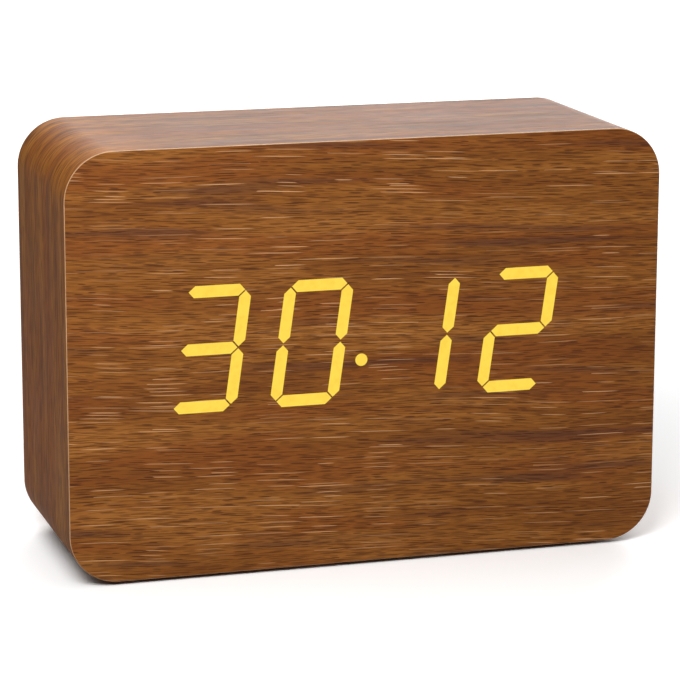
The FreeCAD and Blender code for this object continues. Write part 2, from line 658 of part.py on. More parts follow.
def dotSolid(side, front, back):
    place = dotPlace(side)
    place.y = front
    return rod(place, number("dotDiameter"), Vector(0, back - front, 0), rodSides)


def makeDisplay():
    nodes = []
    face, front, back = number("frontFace"), number("boardFront"), number("reflectorBack")
    resinBack = back - number("lampHeight")
    lampBoxes, funnels, windows = [], [], []
    for index, (centre, figure) in enumerate(zip(digitCentres(), shownDigits)):
        lit, dark = [], []
        for letter in barLetters:
            place = barPlace(centre, letter)
            funnels.append(barSolid(place, front, back))
            across, up, _, upright = place
            lampBoxes.append(lampChip(leaned(across, up, back), upright))
            if letter in litBars[figure]:
                windows.append(barThroughFoil(place))
                lit.append(litBarSolid(place, front, resinBack))
            else:
                dark.append(barSolid(place, front, resinBack))
        nodes.append(shapeNode("digit_%d_lit_bars" % (index + 1), Part.makeCompound(lit)))
        nodes.append(shapeNode("digit_%d_dark_bars" % (index + 1), Part.makeCompound(dark)))
    for name, side, lit in (("upper_dot", 1, False), ("lower_dot", -1, True)):
        funnels.append(dotSolid(side, front, back))
        lampBoxes.append(lampChip(dotPlace(side), False))
        if lit:
            windows.append(dotSolid(side, face, front))
        nodes.append(shapeNode(name, dotSolid(side, face if lit else front, resinBack)))
    nodes.append(shapeNode("lamp_chips", Part.makeCompound(lampBoxes)))

    windowTool = shapeNode("foil_windows", Part.makeCompound(windows))
    foil = document.addObject("Part::Cut", "front_foil")
    foil.Label = "front_foil"
    foil.Base = document.getObject("front_foil_blank")
    foil.Tool = windowTool
    nodes.append(foil)

    block = newBody("reflector_blank")
    outline = newSketch(block, "boardFront")
    rectangle(outline, "reflectorWidth", "reflectorHeight", "displayShift", "displayMiddle")
    pad(block, outline, "reflectorDepth")
    ears = newSketch(block, "ringFront")
    holes = newSketch(block, "ringFront")
    for x in ("earLeft", "earRight"):
        for z in ("earLow", "earHigh"):
            rectangle(ears, "earSize", "earSize", x, z)
            flattedCircle(holes, "boardHole", x, z)
    pad(block, ears, "earLength")
    cut(block, holes, "earLength")
    funnelTool = shapeNode("reflector_funnels", Part.makeCompound(funnels))
    reflector = document.addObject("Part::Cut", "display_reflector")
    reflector.Label = "display_reflector"
    reflector.Base = block
    reflector.Tool = funnelTool
    nodes.append(reflector)

    board = newBody("display_board")
    outline = newSketch(board, "reflectorBack")
    roundedRectangle(outline, "displayBoardWidth", "displayBoardHeight", "circuitCorner",
                     "displayShift", "displayMiddle")
    for x in ("earLeft", "earRight"):
        for z in ("earLow", "earHigh"):
            flattedCircle(outline, "boardHole", x, z)
    pad(board, outline, "circuitThickness")
    nodes.append(board)
    return nodes


def lampChip(spot, upright):
    length, width = number("lampLength") / 2, number("lampWidth") / 2
    halfX, halfZ = (width, length) if upright else (length, width)
    back = number("reflectorBack")
    return boxBetween((spot.x - halfX, back - number("lampHeight"), spot.z - halfZ),
                      (spot.x + halfX, back, spot.z + halfZ))


# Parts on the circuit boards

def chipSolid(x, face, z):
    """A moulded package with drafted sides and bent leads, on the rear of a board."""
    halfLength, halfWidth = number("chipLength") / 2, number("chipWidth") / 2
    height, thick = number("chipHeight"), number("leadThickness")
    standOff, middle = height * 0.1, height * 0.5
    draft = height * 0.1
    sections = []
    for up, back in ((standOff, draft), (middle, 0.0), (height, draft)):
        sections.append([Vector(x + a * (halfLength - back), face + up, z + b * (halfWidth - back))
                         for a, b in ((-1, -1), (1, -1), (1, 1), (-1, 1))])
    package = layeredSolid(sections)
    pitch, reach = number("leadPitch"), number("leadReach")
    count = int(2 * halfLength / pitch)
    inside, shoulder, toe = halfWidth - number("leadSink"), halfWidth + reach / 2, halfWidth + reach
    profile = [(inside, middle), (shoulder, middle), (toe, thick), (toe, 0.0), (shoulder, 0.0),
               (inside, middle - thick)]
    leads = []
    for side in (-1, 1):
        for i in range(count):
            start = x + (i - (count - 1) / 2) * pitch - number("leadWidth") / 2
            points = [Vector(start, face + up, z + side * out) for out, up in profile]
            leads.append(prism(points, Vector(number("leadWidth"), 0, 0)))
    return package.multiFuse(leads)


def ribbonSocket(x, face, z, outward):
    half, size = number("ribbonSocketWidth") / 2, number("ribbonSocketSize")
    low = min(face, face + outward * size)
    housing = boxBetween((x - half, low, z - size / 2), (x + half, low + size, z + size / 2))
    edges = [edge for edge in housing.Edges if abs(edge.BoundBox.YMax - edge.BoundBox.YMin) > size / 2]
    return housing.makeChamfer(size / 10, edges)


def ribbonSolid(x, start, end, z):
    """A flat cable that hangs in one shallow loop between two sockets at the same height."""
    tail = number("ribbonTail")
    span = end - start - 2 * tail
    turn = 2 * math.atan(2 * number("ribbonSag") / span)
    radius = span / (4 * math.sin(turn))
    half = number("ribbonThickness") / 2
    first, last = start + tail, end - tail
    drop = radius * (1 - math.cos(turn))
    quarter = radius * math.sin(turn)

    def at(y, up):
        return Vector(x - number("ribbonWidth") / 2, y, z + up)

    def bend(centreY, centreUp, middleAngle, spread, offset):
        points = []
        for angle in (middleAngle - spread, middleAngle, middleAngle + spread):
            points.append(at(centreY + offset * math.cos(angle), centreUp + offset * math.sin(angle)))
        return points

    edges = []
    for side in (1, -1):
        outer, inner = radius + side * half, radius - side * half
        high = bend(first, -radius, math.pi / 2 - turn / 2, turn / 2, outer)
        sag = bend(first + 2 * quarter, radius - 2 * drop, -math.pi / 2, turn, inner)
        tailEnd = bend(last, -radius, math.pi / 2 + turn / 2, turn / 2, outer)
        line = [at(start, side * half), at(first, side * half), at(last, side * half), at(end, side * half)]
        edges.append(Part.LineSegment(line[0], line[1]).toShape())
        edges.append(Part.Arc(high[2], high[1], high[0]).toShape())
        edges.append(Part.Arc(sag[0], sag[1], sag[2]).toShape())
        edges.append(Part.Arc(tailEnd[2], tailEnd[1], tailEnd[0]).toShape())
        edges.append(Part.LineSegment(line[2], line[3]).toShape())
    for y in (start, end):
        edges.append(Part.LineSegment(at(y, half), at(y, -half)).toShape())
    outline = Part.Wire(Part.__sortEdges__(edges))
    return Part.Face(outline).extrude(Vector(number("ribbonWidth"), 0, 0))


def makeElectronics():
    nodes = []
    rear = number("displayBoardBack")
    middleX, middleZ = number("displayShift"), number("displayMiddle")
    sideStep = number("displayBoardWidth") / 5
    nodes.append(shapeNode("clock_chip", chipSolid(middleX + sideStep, rear, middleZ)))
    nodes.append(shapeNode("driver_chip", chipSolid(middleX - sideStep, rear, middleZ)))
    crystalRadius = number("crystalDiameter") / 2
    crystalStart = Vector(middleX + sideStep - number("crystalLength") / 2, rear + crystalRadius,
                          middleZ - number("chipWidth") - number("crystalDiameter"))
    nodes.append(shapeNode("clock_crystal", Part.makeCylinder(crystalRadius, number("crystalLength"),
                                                              crystalStart, Vector(1, 0, 0))))

    control = newBody("control_board")
    outline = newSketch(control, "controlFront")
    roundedRectangle(outline, "controlWidth", "controlHeight", "circuitCorner", "controlShift",
                     "controlMiddle")
    controlScrewHoles(outline, "boardHole")
    pad(control, outline, "circuitThickness")
    nodes.append(control)

    for name, x in (("set", "buttonOne"), ("up", "buttonTwo"), ("down", "buttonThree")):
        switch = newBody(name + "_switch")
        outline = newSketch(switch, "controlRear")
        rectangle(outline, "switchSize", "switchSize", x, "controlMiddle")
        pad(switch, outline, "switchHeight")
        well = newSketch(switch, "switchTop")
        flattedCircle(well, "switchWellWidth", x, "controlMiddle")
        cut(switch, well, "switchWellDepth", "front")
        nodes.append(switch)
        plunger = newBody(name + "_plunger")
        outline = newSketch(plunger, "plungerFront")
        flattedCircle(outline, "plungerDiameter", x, "controlMiddle")
        pad(plunger, outline, "plungerLength")
        nodes.append(plunger)

    buzzer = newBody("alarm_buzzer")
    outline = newSketch(buzzer, "controlRear")
    circle(outline, "buzzerDiameter", "buzzerShift", "controlMiddle")
    pad(buzzer, outline, "buzzerHeight")
    port = newSketch(buzzer, "buzzerTop")
    flattedCircle(port, "buzzerPort", "buzzerShift", "controlMiddle")
    cut(buzzer, port, "buzzerPort", "front")
    nodes.append(buzzer)

    front = number("controlFront")
    can = Part.makeCylinder(number("capacitorDiameter") / 2, number("capacitorHeight"),
                            Vector(number("buzzerShift"), front, number("controlMiddle")), Vector(0, -1, 0))
    nodes.append(shapeNode("filter_capacitor", can))

    ribbonX, ribbonZ = number("controlShift"), number("controlMiddle")
    size = number("ribbonSocketSize")
    lowest = middleZ + number("displayBoardHeight") / 2 - size
    ribbonZ = min(ribbonZ, lowest)
    nodes.append(shapeNode("display_ribbon_socket", ribbonSocket(ribbonX, rear, ribbonZ, 1)))
    nodes.append(shapeNode("control_ribbon_socket", ribbonSocket(ribbonX, front, ribbonZ, -1)))
    nodes.append(shapeNode("ribbon_cable", ribbonSolid(ribbonX, rear + size, front - size, ribbonZ)))
    return nodes


# Rear cover, its door and what they hold

def makeRearCover():
    cover = newBody("rear_cover")
    outline = newSketch(cover, "coverFace")
    roundedRectangle(outline, "coverWidth", "coverHeight", "coverCorner", "0", "caseMiddle")
    pad(cover, outline, "coverThickness", "front")
    tub = newSketch(cover, "coverFace")
    rectangle(tub, "tubOuterWidth", "tubOuterHeight", "0", "doorMiddle")
    pad(cover, tub, "tubBlockDepth", "front")
    bosses = newSketch(cover, "coverInside")
    controlScrewHoles(bosses, "bossDiameter")
    pad(cover, bosses, "controlGap", "front")
    ribs = newSketch(cover, "coverInside")
    for x in ("socketRibLeft", "socketRibRight"):
        rectangle(ribs, "socketRib", "socketHeight", x, "controlMiddle")
    pad(cover, ribs, "socketRibLength", "front")

    recess = newSketch(cover, "coverFace")
    roundedRectangle(recess, "recessWidth", "recessHeight", "recessCorner", "0", "doorMiddle")
    cut(cover, recess, "recessDepth", "front")
    hollow = newSketch(cover, "coverFace")
    rectangle(hollow, "tubWidth", "tubHeight", "0", "tubMiddle")
    cut(cover, hollow, "tubInnerDepth", "front")
    cellRibs = newSketch(cover, "tubFloor")
    for z in ("tubRibLow", "tubRibHigh"):
        rectangle(cellRibs, "tubRibLength", "tubRibWidth", "0", z)
    pad(cover, cellRibs, "tubRibHeight", "rear")
    slots = newSketch(cover, "hookSlotFront")
    for x in ("-hookSpread", "hookSpread"):
        rectangle(slots, "hookSlotWidth", "hookSlotHeight", x, "hookMiddle")
    cut(cover, slots, "hookSlotDepth", "rear")
    tongueSlot = newSketch(cover, "coverFace")
    rectangle(tongueSlot, "tongueSlotWidth", "tongueSlotHeight", "0", "tongueSlotMiddle")
    cut(cover, tongueSlot, "tongueSlotDepth", "front")
    scoop = newSketch(cover, "coverFace")
    circle(scoop, "scoopDiameter", "0", "recessTop")
    cut(cover, scoop, "scoopDepth", "front")

    pilots = newSketch(cover, "controlRear")
    controlScrewHoles(pilots, "boardHole")
    cut(cover, pilots, "bossPilotDepth", "rear")
    holes = newSketch(cover, "coverFace")
    for x in ("buttonOne", "buttonTwo", "buttonThree"):
        circle(holes, "buttonHole", x, "controlMiddle")
    circle(holes, "socketCollarHole", "socketShift", "controlMiddle")
    coverScrewHoles(holes, "coverScrewHole")
    cut(cover, holes, "coverThickness", "front")

    slot = newSketch(cover, "coverFace")
    rectangle(slot, "soundSlotLength", "soundSlotWidth", "buzzerShift", "soundSlotFirst")
    slotCut = cut(cover, slot, "coverThickness", "front")
    pattern = cover.newObject("PartDesign::LinearPattern", "sound_slots")
    pattern.Originals = [slotCut]
    pattern.Direction = (slot, ["V_Axis"])
    pattern.setExpression("Length", "Sizes.soundSlotSpan")
    pattern.setExpression("Occurrences", "Sizes.soundSlotCount")
    cover.Tip = pattern
    document.recompute()

    door = newBody("battery_door")
    outline = newSketch(door, "coverFace")
    roundedRectangle(outline, "doorWidth", "doorHeight", "doorCorner", "0", "doorMiddle")
    pad(door, outline, "doorThickness", "front")
    notch = newSketch(door, "coverFace")
    rectangle(notch, "tongueSlotWidth", "tongueCutHeight", "0", "tongueNotchMiddle")
    cut(door, notch, "doorThickness", "front")
    hooks = newSketch(door, "hookBack")
    for x in ("-hookSpread", "hookSpread"):
        rectangle(hooks, "hookWidth", "hookHeight", x, "hookMiddle")
    pad(door, hooks, "hookThickness", "rear")

    tongue = shapeNode("battery_door_tongue", tongueSolid())
    wholeDoor = document.addObject("Part::Fuse", "battery_door_whole")
    wholeDoor.Base = door
    wholeDoor.Tool = tongue
    wholeDoor.Refine = True
    door.Label = "battery_door_plate"
    wholeDoor.Label = "battery_door"
    return [cover, wholeDoor]


def tongueSolid():
    """The spring tongue at the top of the door: a U that hangs inward, seen from the side."""
    thick = number("tongueThickness")
    inner = number("doorInside")
    bottom = inner - number("tongueDepth")
    face = number("coverFace") - number("doorSeat")
    top = number("doorTop") - number("tongueSetback")
    x = -number("tongueWidth") / 2
    low = top - number("tongueBend")
    profile = [(inner + thick, low), (bottom + thick, low), (bottom, low + thick),
               (bottom, top - thick), (bottom + thick, top), (face, top),
               (face, top - thick), (bottom + thick, top - thick), (bottom + thick, low + thick),
               (inner + thick, low + thick)]
    points = [Vector(x, y, z) for y, z in profile]
    return prism(points, Vector(number("tongueWidth"), 0, 0))


def makeButtons():
    caps = []
    for name, x in (("set", "buttonOne"), ("up", "buttonTwo"), ("down", "buttonThree")):
        cap = newBody(name + "_button")
        outline = newSketch(cap, "plungerTop")
        circle(outline, "buttonDiameter", x, "controlMiddle")
        pad(cap, outline, "capLength")
        flange = newSketch(cap, "flangeFront")
        flattedCircle(flange, "flangeDiameter", x, "controlMiddle")
        pad(cap, flange, "flangeThickness")
        caps.append(cap)
    return caps


def makePowerSocket():
    housing = newBody("power_socket")
    outline = newSketch(housing, "coverInside")
    rectangle(outline, "socketWidth", "socketHeight", "socketShift", "controlMiddle")
    pad(housing, outline, "socketLength", "front")
    collar = newSketch(housing, "coverInside")
    circle(collar, "socketCollar", "socketShift", "controlMiddle")
    pad(housing, collar, "coverThickness", "rear")
    bore = newSketch(housing, "coverFace")
    circle(bore, "socketBore", "socketShift", "controlMiddle")
    cut(housing, bore, "socketBoreDepth", "front")
    pinNode = cylinderNode("power_socket_pin", "socketPin", "socketPinLength", "socketShift", "socketPinRoot",
                           "controlMiddle")

    root = Vector(number("socketShift"), number("socketPinRoot"), number("controlMiddle"))
    thick, width = number("socketLeafThickness"), number("socketLeafWidth")
    wall = math.sqrt((number("socketBore") / 2) ** 2 - (width / 2) ** 2)
    base = number("controlMiddle") - wall + number("socketPlay")
    length = number("socketBoreDepth")
    bow = thick * 1.5
    profile = [(0, 0), (length * 0.3, bow), (length * 0.55, bow), (length * 0.85, 0)]
    lower = [Vector(root.x - width / 2, root.y + along, base + up) for along, up in profile]
    upper = [point + Vector(0, 0, thick) for point in reversed(lower)]
    leafNode = shapeNode("power_socket_spring", prism(lower + upper, Vector(width, 0, 0)))
    return [housing, pinNode, leafNode]


# Battery cells and contacts. The cells lie side by side and alternate, in series.

def cellRows():
    """Name, height and direction of each cell, lowest first."""
    pitch, middle = number("cellPitch"), number("tubMiddle")
    return [("battery_cell_1", middle - pitch, 1), ("battery_cell_2", middle, -1),
            ("battery_cell_3", middle + pitch, 1)]


def makeCells():
    nodes = []
    length, nubLength = number("cellLength"), number("nubLength")
    positiveEnd = number("tubWidth") / 2 - number("contactThickness") - number("padRise")
    for name, height, direction in cellRows():
        nubEnd = Vector(direction * positiveEnd, number("cellDepth"), height)
        shoulder = nubEnd - Vector(direction * nubLength, 0, 0)
        can = rod(shoulder, number("cellDiameter"), Vector(-direction * (length - nubLength), 0, 0), rodSides)
        nub = rod(nubEnd, number("nubDiameter"), Vector(-direction * nubLength, 0, 0), screwSides)
        nodes.append(shapeNode(name, can.fuse(nub)))
    return nodes


def contactStrip(side, low, high):
    """A flat strip on the tub's end wall, side -1 or 1, that spans the given heights."""
    wall, thick = number("tubWidth") / 2, number("contactThickness")
    half = number("contactWidth") / 2
    depth = number("cellDepth")
    inner, outer = sorted((side * wall, side * (wall - thick)))
    return boxBetween((inner, depth - half, low - half), (outer, depth + half, high + half))


def contactPad(side, height):
    """The raised pad that a cell's nub presses on."""
    start = Vector(side * (number("tubWidth") / 2 - number("contactThickness")), number("cellDepth"), height)
    return rod(start, number("nubDiameter"), Vector(-side * number("padRise"), 0, 0), screwSides)


def contactLeaf(side, height):
    """The bent spring leaf that presses on a cell's flat end."""
    wall = number("tubWidth") / 2 - number("contactThickness")
    reach, thick = number("leafReach"), number("contactThickness")
    half, depth = number("contactWidth") / 2, number("cellDepth")
    width = number("leafWidth")
    profile = [(0, half), (thick, half), (reach, half * 0.15), (reach, -half * 0.15),
               (thick * 2, -half * 0.9), (thick, -half * 0.7), (reach - thick, -half * 0.1),
               (reach - thick, half * 0.1), (0, half - 2 * thick)]
    points = [Vector(side * (wall - along), depth + up, height - width / 2) for along, up in profile]
    return prism(points, Vector(0, 0, width))


def makeContacts():
    (_, low, _), (_, middle, _), (_, high, _) = cellRows()
    positive = contactStrip(1, low, low).fuse(contactPad(1, low))
    negative = contactStrip(-1, high, high).fuse(contactLeaf(-1, high))
    linkLeft = contactStrip(-1, low, middle).multiFuse([contactLeaf(-1, low), contactPad(-1, middle)])
    linkRight = contactStrip(1, middle, high).multiFuse([contactLeaf(1, middle), contactPad(1, high)])
    return [shapeNode("positive_contact", positive), shapeNode("negative_contact", negative),
            shapeNode("lower_link_contact", linkLeft), shapeNode("upper_link_contact", linkRight)]


# Screws

def screwSolid(seat, towards, length, shank, head, headHeight):
    """A pan head screw along Y, whose head lies on the seat, on the side that towards gives."""
    shaft = rod(seat, shank, Vector(0, -towards * length, 0), screwSides)
    return shaft.fuse(rod(seat, head, Vector(0, towards * headHeight, 0), screwSides)).removeSplitter()


def crossCut(screw, seat, head, headHeight):
    """The cross recess in a screw head that shows."""
    arm, half, deep = head * 0.28, head * 0.07, headHeight * 0.7
    for armX, armZ in ((arm, half), (half, arm)):
        screw = screw.cut(boxBetween((seat.x - armX, seat.y + headHeight - deep, seat.z - armZ),
                                     (seat.x + armX, seat.y + headHeight, seat.z + armZ)))
    return screw


def makeScrews():
    shank, head, height = number("coverShank"), number("coverHead"), number("coverHeadHeight")
    coverScrews = []
    for x in ("-coverScrewSide", "coverScrewSide"):
        for z in ("coverScrewLow", "coverScrewHigh"):
            seat = Vector(number(x), number("coverFace"), number(z))
            screw = screwSolid(seat, 1, number("coverScrewLength"), shank, head, height)
            coverScrews.append(crossCut(screw, seat, head, height))
    shank, head, height = number("boardShank"), number("boardHead"), number("boardHeadHeight")
    displayLength = number("circuitThickness") + number("earLength") + number("boardBite")
    displayScrews = [screwSolid(Vector(number(x), number("displayBoardBack"), number(z)), 1,
                                displayLength, shank, head, height)
                     for x in ("earLeft", "earRight") for z in ("earLow", "earHigh")]
    controlLength = number("circuitThickness") + number("bossBite")
    controlScrews = [screwSolid(Vector(number(x), number("controlFront"), number(z)), -1,
                                controlLength, shank, head, height)
                     for x, z in controlScrewPlaces]
    return [shapeNode("rear_cover_screws", Part.makeCompound(coverScrews)),
            shapeNode("display_board_screws", Part.makeCompound(displayScrews)),
            shapeNode("control_board_screws", Part.makeCompound(controlScrews))]


def checkAndWrite(nodes):
    """Stops if anything failed, then writes each node to its own file."""
    for item in document.Objects:
        if "Invalid" in item.State or "Error" in item.State:
            raise ValueError(item.Label + " is " + ", ".join(item.State))
    os.makedirs("parts", exist_ok=True)
    for node in nodes:
        shape = node.Shape
        if shape.isNull() or not shape.isValid():
            raise ValueError(node.Label + " has no valid shape")
        if not shape.Solids:
            raise ValueError(node.Label + " has no solid")
        shape.exportStep(os.path.join("parts", node.Label + ".step"))
    print("%d nodes written" % len(nodes))


fillSheet()
allNodes = makeCase() + makeFeet() + makeDisplay() + makeElectronics() + makeRearCover() + makeButtons()
allNodes += makePowerSocket() + makeCells() + makeContacts() + makeScrews()
document.recompute()
checkAndWrite(allNodes)
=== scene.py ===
import json
import math

import bmesh
import bpy
from mathutils import Matrix, Vector
from mathutils.geometry import tessellate_polygon


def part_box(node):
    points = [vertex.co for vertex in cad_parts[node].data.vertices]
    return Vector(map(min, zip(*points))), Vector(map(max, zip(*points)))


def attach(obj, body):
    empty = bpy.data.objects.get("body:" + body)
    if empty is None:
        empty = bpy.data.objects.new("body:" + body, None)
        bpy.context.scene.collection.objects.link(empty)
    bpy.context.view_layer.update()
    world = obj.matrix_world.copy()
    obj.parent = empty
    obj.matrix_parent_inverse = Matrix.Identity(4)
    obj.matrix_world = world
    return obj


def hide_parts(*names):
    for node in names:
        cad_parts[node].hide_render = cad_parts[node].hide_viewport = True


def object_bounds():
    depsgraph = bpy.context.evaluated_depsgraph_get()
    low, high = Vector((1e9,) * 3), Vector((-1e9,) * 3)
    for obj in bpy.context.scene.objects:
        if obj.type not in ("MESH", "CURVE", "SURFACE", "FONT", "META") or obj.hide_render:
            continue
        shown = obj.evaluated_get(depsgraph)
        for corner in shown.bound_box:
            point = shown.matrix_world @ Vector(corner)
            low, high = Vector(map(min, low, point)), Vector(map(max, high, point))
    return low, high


# Desk clock with calendar in a rounded walnut-look block. Metres, +Z up, the front faces -Y.

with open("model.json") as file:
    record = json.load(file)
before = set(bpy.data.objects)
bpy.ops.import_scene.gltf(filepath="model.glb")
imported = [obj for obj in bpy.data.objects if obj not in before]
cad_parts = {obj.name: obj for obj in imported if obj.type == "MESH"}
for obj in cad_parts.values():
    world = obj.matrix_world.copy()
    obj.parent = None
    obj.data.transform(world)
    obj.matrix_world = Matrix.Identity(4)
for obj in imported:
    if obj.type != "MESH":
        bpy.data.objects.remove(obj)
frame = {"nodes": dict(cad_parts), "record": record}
cadLow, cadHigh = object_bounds()
cadNodes = frame["nodes"]
mm = 0.001
print("frame loaded,", len(cadNodes), "pieces")


# Colours and shader nodes

def linear(hexText):
    channels = []
    for start in (1, 3, 5):
        part = int(hexText[start:start + 2], 16) / 255
        channels.append(part / 12.92 if part <= 0.04045 else ((part + 0.055) / 1.055) ** 2.4)
    return (*channels, 1.0)


# Adds one node. An input may be a value, a node, whose first output is used, or one of its outputs.
def addNode(tree, kind, inputs=None, stops=None, **settings):
    node = tree.nodes.new(kind)
    for key, value in settings.items():
        setattr(node, key, value)
    if stops:
        ramp = node.color_ramp
        while len(ramp.elements) < len(stops):
            ramp.elements.new(1.0)
        for element, (place, colour) in zip(ramp.elements, stops):
            element.position = place
            element.color = linear(colour) if isinstance(colour, str) else (colour, colour, colour, 1.0)
    for key, value in (inputs or {}).items():
        if isinstance(value, bpy.types.Node):
            value = value.outputs[0]
        if isinstance(value, bpy.types.NodeSocket):
            tree.links.new(value, node.inputs[key])
        else:
            node.inputs[key].default_value = value
    return node


def newMaterial(name):
    material = bpy.data.materials.new(name)
    material.use_nodes = True
    material.node_tree.nodes.clear()
    return material, material.node_tree


noiseSpan = [0.3, 0.7]  # most of a noise's values lie between these
waveSpan = [0.2, 0.8]  # and nearly all between these
glossSpread = 0.05  # how far a finish's roughness varies either way


# Walnut-look foil: printed paper under a dull lacquer, which mirrors little. The eye sees a warm brown
# ground, many thin dark pores that run with the grain, smoky patches and a few thin pale flecks, which
# are painted highlights for the glints of the embossed pores.
# A size in mm is its length along the grain and its width across it. Real pores are 0.1 to 0.2 mm wide,
# too fine to show in the render, so they are drawn 0.3 mm wide on the front and 0.6 mm on the strip.
# A lacquer's IOR is about 1.5. It is set lower because the open grain breaks up what would be mirrored.
frontFoilLook = {
    "name": "walnut_foil_front",
    "ground": ["#7A4516", "#8E561F", "#A0652B"], "groundRange": [0.34, 0.5, 0.66],
    "bandMm": [110, 9], "bandShare": 0.6, "streakMm": [45, 1.6], "streakShare": 0.4,
    "blush": "#854718", "blushMm": [70, 8], "blushRange": [0.47, 0.62], "blushAmount": 0.6,
    "smoke": "#553323", "smokeMm": [75, 4], "smokeRange": [0.6, 0.74], "smokeAmount": 0.65,
    "finePore": "#54290A", "finePoreMm": [5, 0.28], "finePoreRange": [0.5, 0.36], "finePoreAmount": 0.5,
    "pore": "#421E06", "poreCellMm": [7, 0.5], "poreWidthMm": 0.27, "poreAmount": 0.9, "poreChance": 0.88,
    # the pale flecks are painted highlights: glints where the embossed pores catch the light
    "paintedGlint": "#D4A070", "paintedGlintCellMm": [14, 0.9], "paintedGlintWidthMm": 0.22, "paintedGlintAmount": 1.0,
    "paintedGlintChance": 0.34, "gatherMm": [45, 14], "gatherRange": [0.35, 0.6], "gatherLeast": 0.35,
    "waveMm": 0.9, "waveSizeMm": [70, 26], "tiltDegrees": 2.5,
    "roughness": 0.6, "ior": 1.28, "reliefMm": 0.02, "bumpStrength": 0.5,
}
edgeFoilLook = {
    "name": "walnut_foil_edge",
    "ground": ["#744212", "#87511A", "#9B6528"], "groundRange": [0.36, 0.5, 0.64],
    "bandMm": [70, 6], "bandShare": 0.6, "streakMm": [28, 1.5], "streakShare": 0.4,
    "blush": "#8A4A18", "blushMm": [60, 9], "blushRange": [0.42, 0.62], "blushAmount": 0.6,
    "smoke": "#563322", "smokeMm": [45, 4], "smokeRange": [0.54, 0.72], "smokeAmount": 0.6,
    "finePore": "#54290A", "finePoreMm": [6, 0.9], "finePoreRange": [0.5, 0.36], "finePoreAmount": 0.5,
    "pore": "#4A2408", "poreCellMm": [9, 1.2], "poreWidthMm": 0.6, "poreAmount": 0.65, "poreChance": 0.75,
    # the patch over one top corner is partly golden figure and partly painted light
    "figureAndPaintedLight": "#B8742C", "figureAndPaintedLightPlaceMm": 375, "figureAndPaintedLightReachMm": 22, "figureAndPaintedLightAmount": 1.2,
    "waveMm": 0.6, "waveSizeMm": [70, 26], "tiltDegrees": 0.0,
    "roughness": 0.72, "ior": 1.2, "reliefMm": 0.01, "bumpStrength": 0.5,
}

# Where each layer starts in the endless noise
noiseStarts = {"wave": 3.1, "bands": 7.7, "streaks": 1.3, "blush": 17.0, "smoke": 53.0, "finePore": 41.0,
               "gather": 31.0, "pore": 11.0, "paintedGlint": 23.0}
noiseSkew = 0.37  # the start across the grain, as a share of the start along it


# Noise drawn out along the grain. A grain is about as long and as wide as sizeMm says.
def drawnNoise(tree, places, sizeMm, start, detail=1.0):
    spread = addNode(tree, "ShaderNodeMapping",
                     {"Vector": places, "Location": (start, start * noiseSkew, 0.0),
                      "Scale": (1 / sizeMm[0], 1 / sizeMm[1], 1.0)})
    return addNode(tree, "ShaderNodeTexNoise", {"Vector": spread, "Scale": 1.0, "Detail": detail},
                   noise_dimensions="2D")


# Half lengths are shares of a cell's length. The rim is where a dash fades, 1 being its outline.
dashShape = {"shortHalf": 0.16, "longHalf": 0.6, "pointing": 3.0, "outerRim": 1.15, "innerRim": 0.65,
             "faintest": 0.35, "skew": 0.61}


# Straight dashes with pointed ends, one in each random cell. Their lengths and strengths differ.
def grainDashes(tree, places, cellMm, widthMm, chance, start):
    spread = addNode(tree, "ShaderNodeMapping",
                     {"Vector": places, "Location": (start, start * dashShape["skew"], 0.0),
                      "Scale": (1 / cellMm[0], 1 / cellMm[1], 1.0)})
    cells = addNode(tree, "ShaderNodeTexVoronoi", {"Vector": spread, "Scale": 1.0}, voronoi_dimensions="2D")
    offset = addNode(tree, "ShaderNodeVectorMath", {0: spread, 1: cells.outputs["Position"]},
                     operation="SUBTRACT")
    offset = addNode(tree, "ShaderNodeVectorMath", {0: offset}, operation="ABSOLUTE")
    away = addNode(tree, "ShaderNodeSeparateXYZ", {0: offset})
    luck = addNode(tree, "ShaderNodeSeparateColor", {0: cells.outputs["Color"]})
    halfLength = addNode(tree, "ShaderNodeMapRange", {0: luck.outputs[1], 3: dashShape["shortHalf"],
                                                      4: dashShape["longHalf"]})
    along = addNode(tree, "ShaderNodeMath", {0: away.outputs[0], 1: halfLength}, operation="DIVIDE")
    along = addNode(tree, "ShaderNodeMath", {0: along, 1: dashShape["pointing"]}, operation="POWER")
    halfWidths = cellMm[1] / (widthMm / 2)  # in one cell
    across = addNode(tree, "ShaderNodeMath", {0: away.outputs[1], 1: halfWidths}, operation="MULTIPLY")
    reach = addNode(tree, "ShaderNodeMath", {0: along, 1: across}, operation="ADD")
    body = addNode(tree, "ShaderNodeMapRange", {0: reach, 1: dashShape["outerRim"],
                                                2: dashShape["innerRim"], 3: 0.0, 4: 1.0})
    present = addNode(tree, "ShaderNodeMath", {0: luck.outputs[0], 1: chance}, operation="LESS_THAN")
    strength = addNode(tree, "ShaderNodeMapRange", {0: luck.outputs[2], 3: dashShape["faintest"], 4: 1.0})
    kept = addNode(tree, "ShaderNodeMath", {0: present, 1: strength}, operation="MULTIPLY")
    return addNode(tree, "ShaderNodeMath", {0: body, 1: kept}, operation="MULTIPLY")


# Places on the foil in mm, turned by the print's tilt and swaying as grain does
def grainPlaces(tree, look, along, across):
    flat = addNode(tree, "ShaderNodeCombineXYZ", {0: along, 1: across})
    flat = addNode(tree, "ShaderNodeMapping", {"Vector": flat, "Scale": (1 / mm, 1 / mm, 1.0),
                                               "Rotation": (0.0, 0.0, math.radians(look["tiltDegrees"]))})
    wave = drawnNoise(tree, flat, look["waveSizeMm"], noiseStarts["wave"])
    wave = addNode(tree, "ShaderNodeMapRange", {0: wave, 1: waveSpan[0], 2: waveSpan[1], 3: -look["waveMm"],
                                                4: look["waveMm"]}, clamp=False)
    sway = addNode(tree, "ShaderNodeCombineXYZ", {1: wave})
    return addNode(tree, "ShaderNodeVectorMath", {0: flat, 1: sway}, operation="ADD")


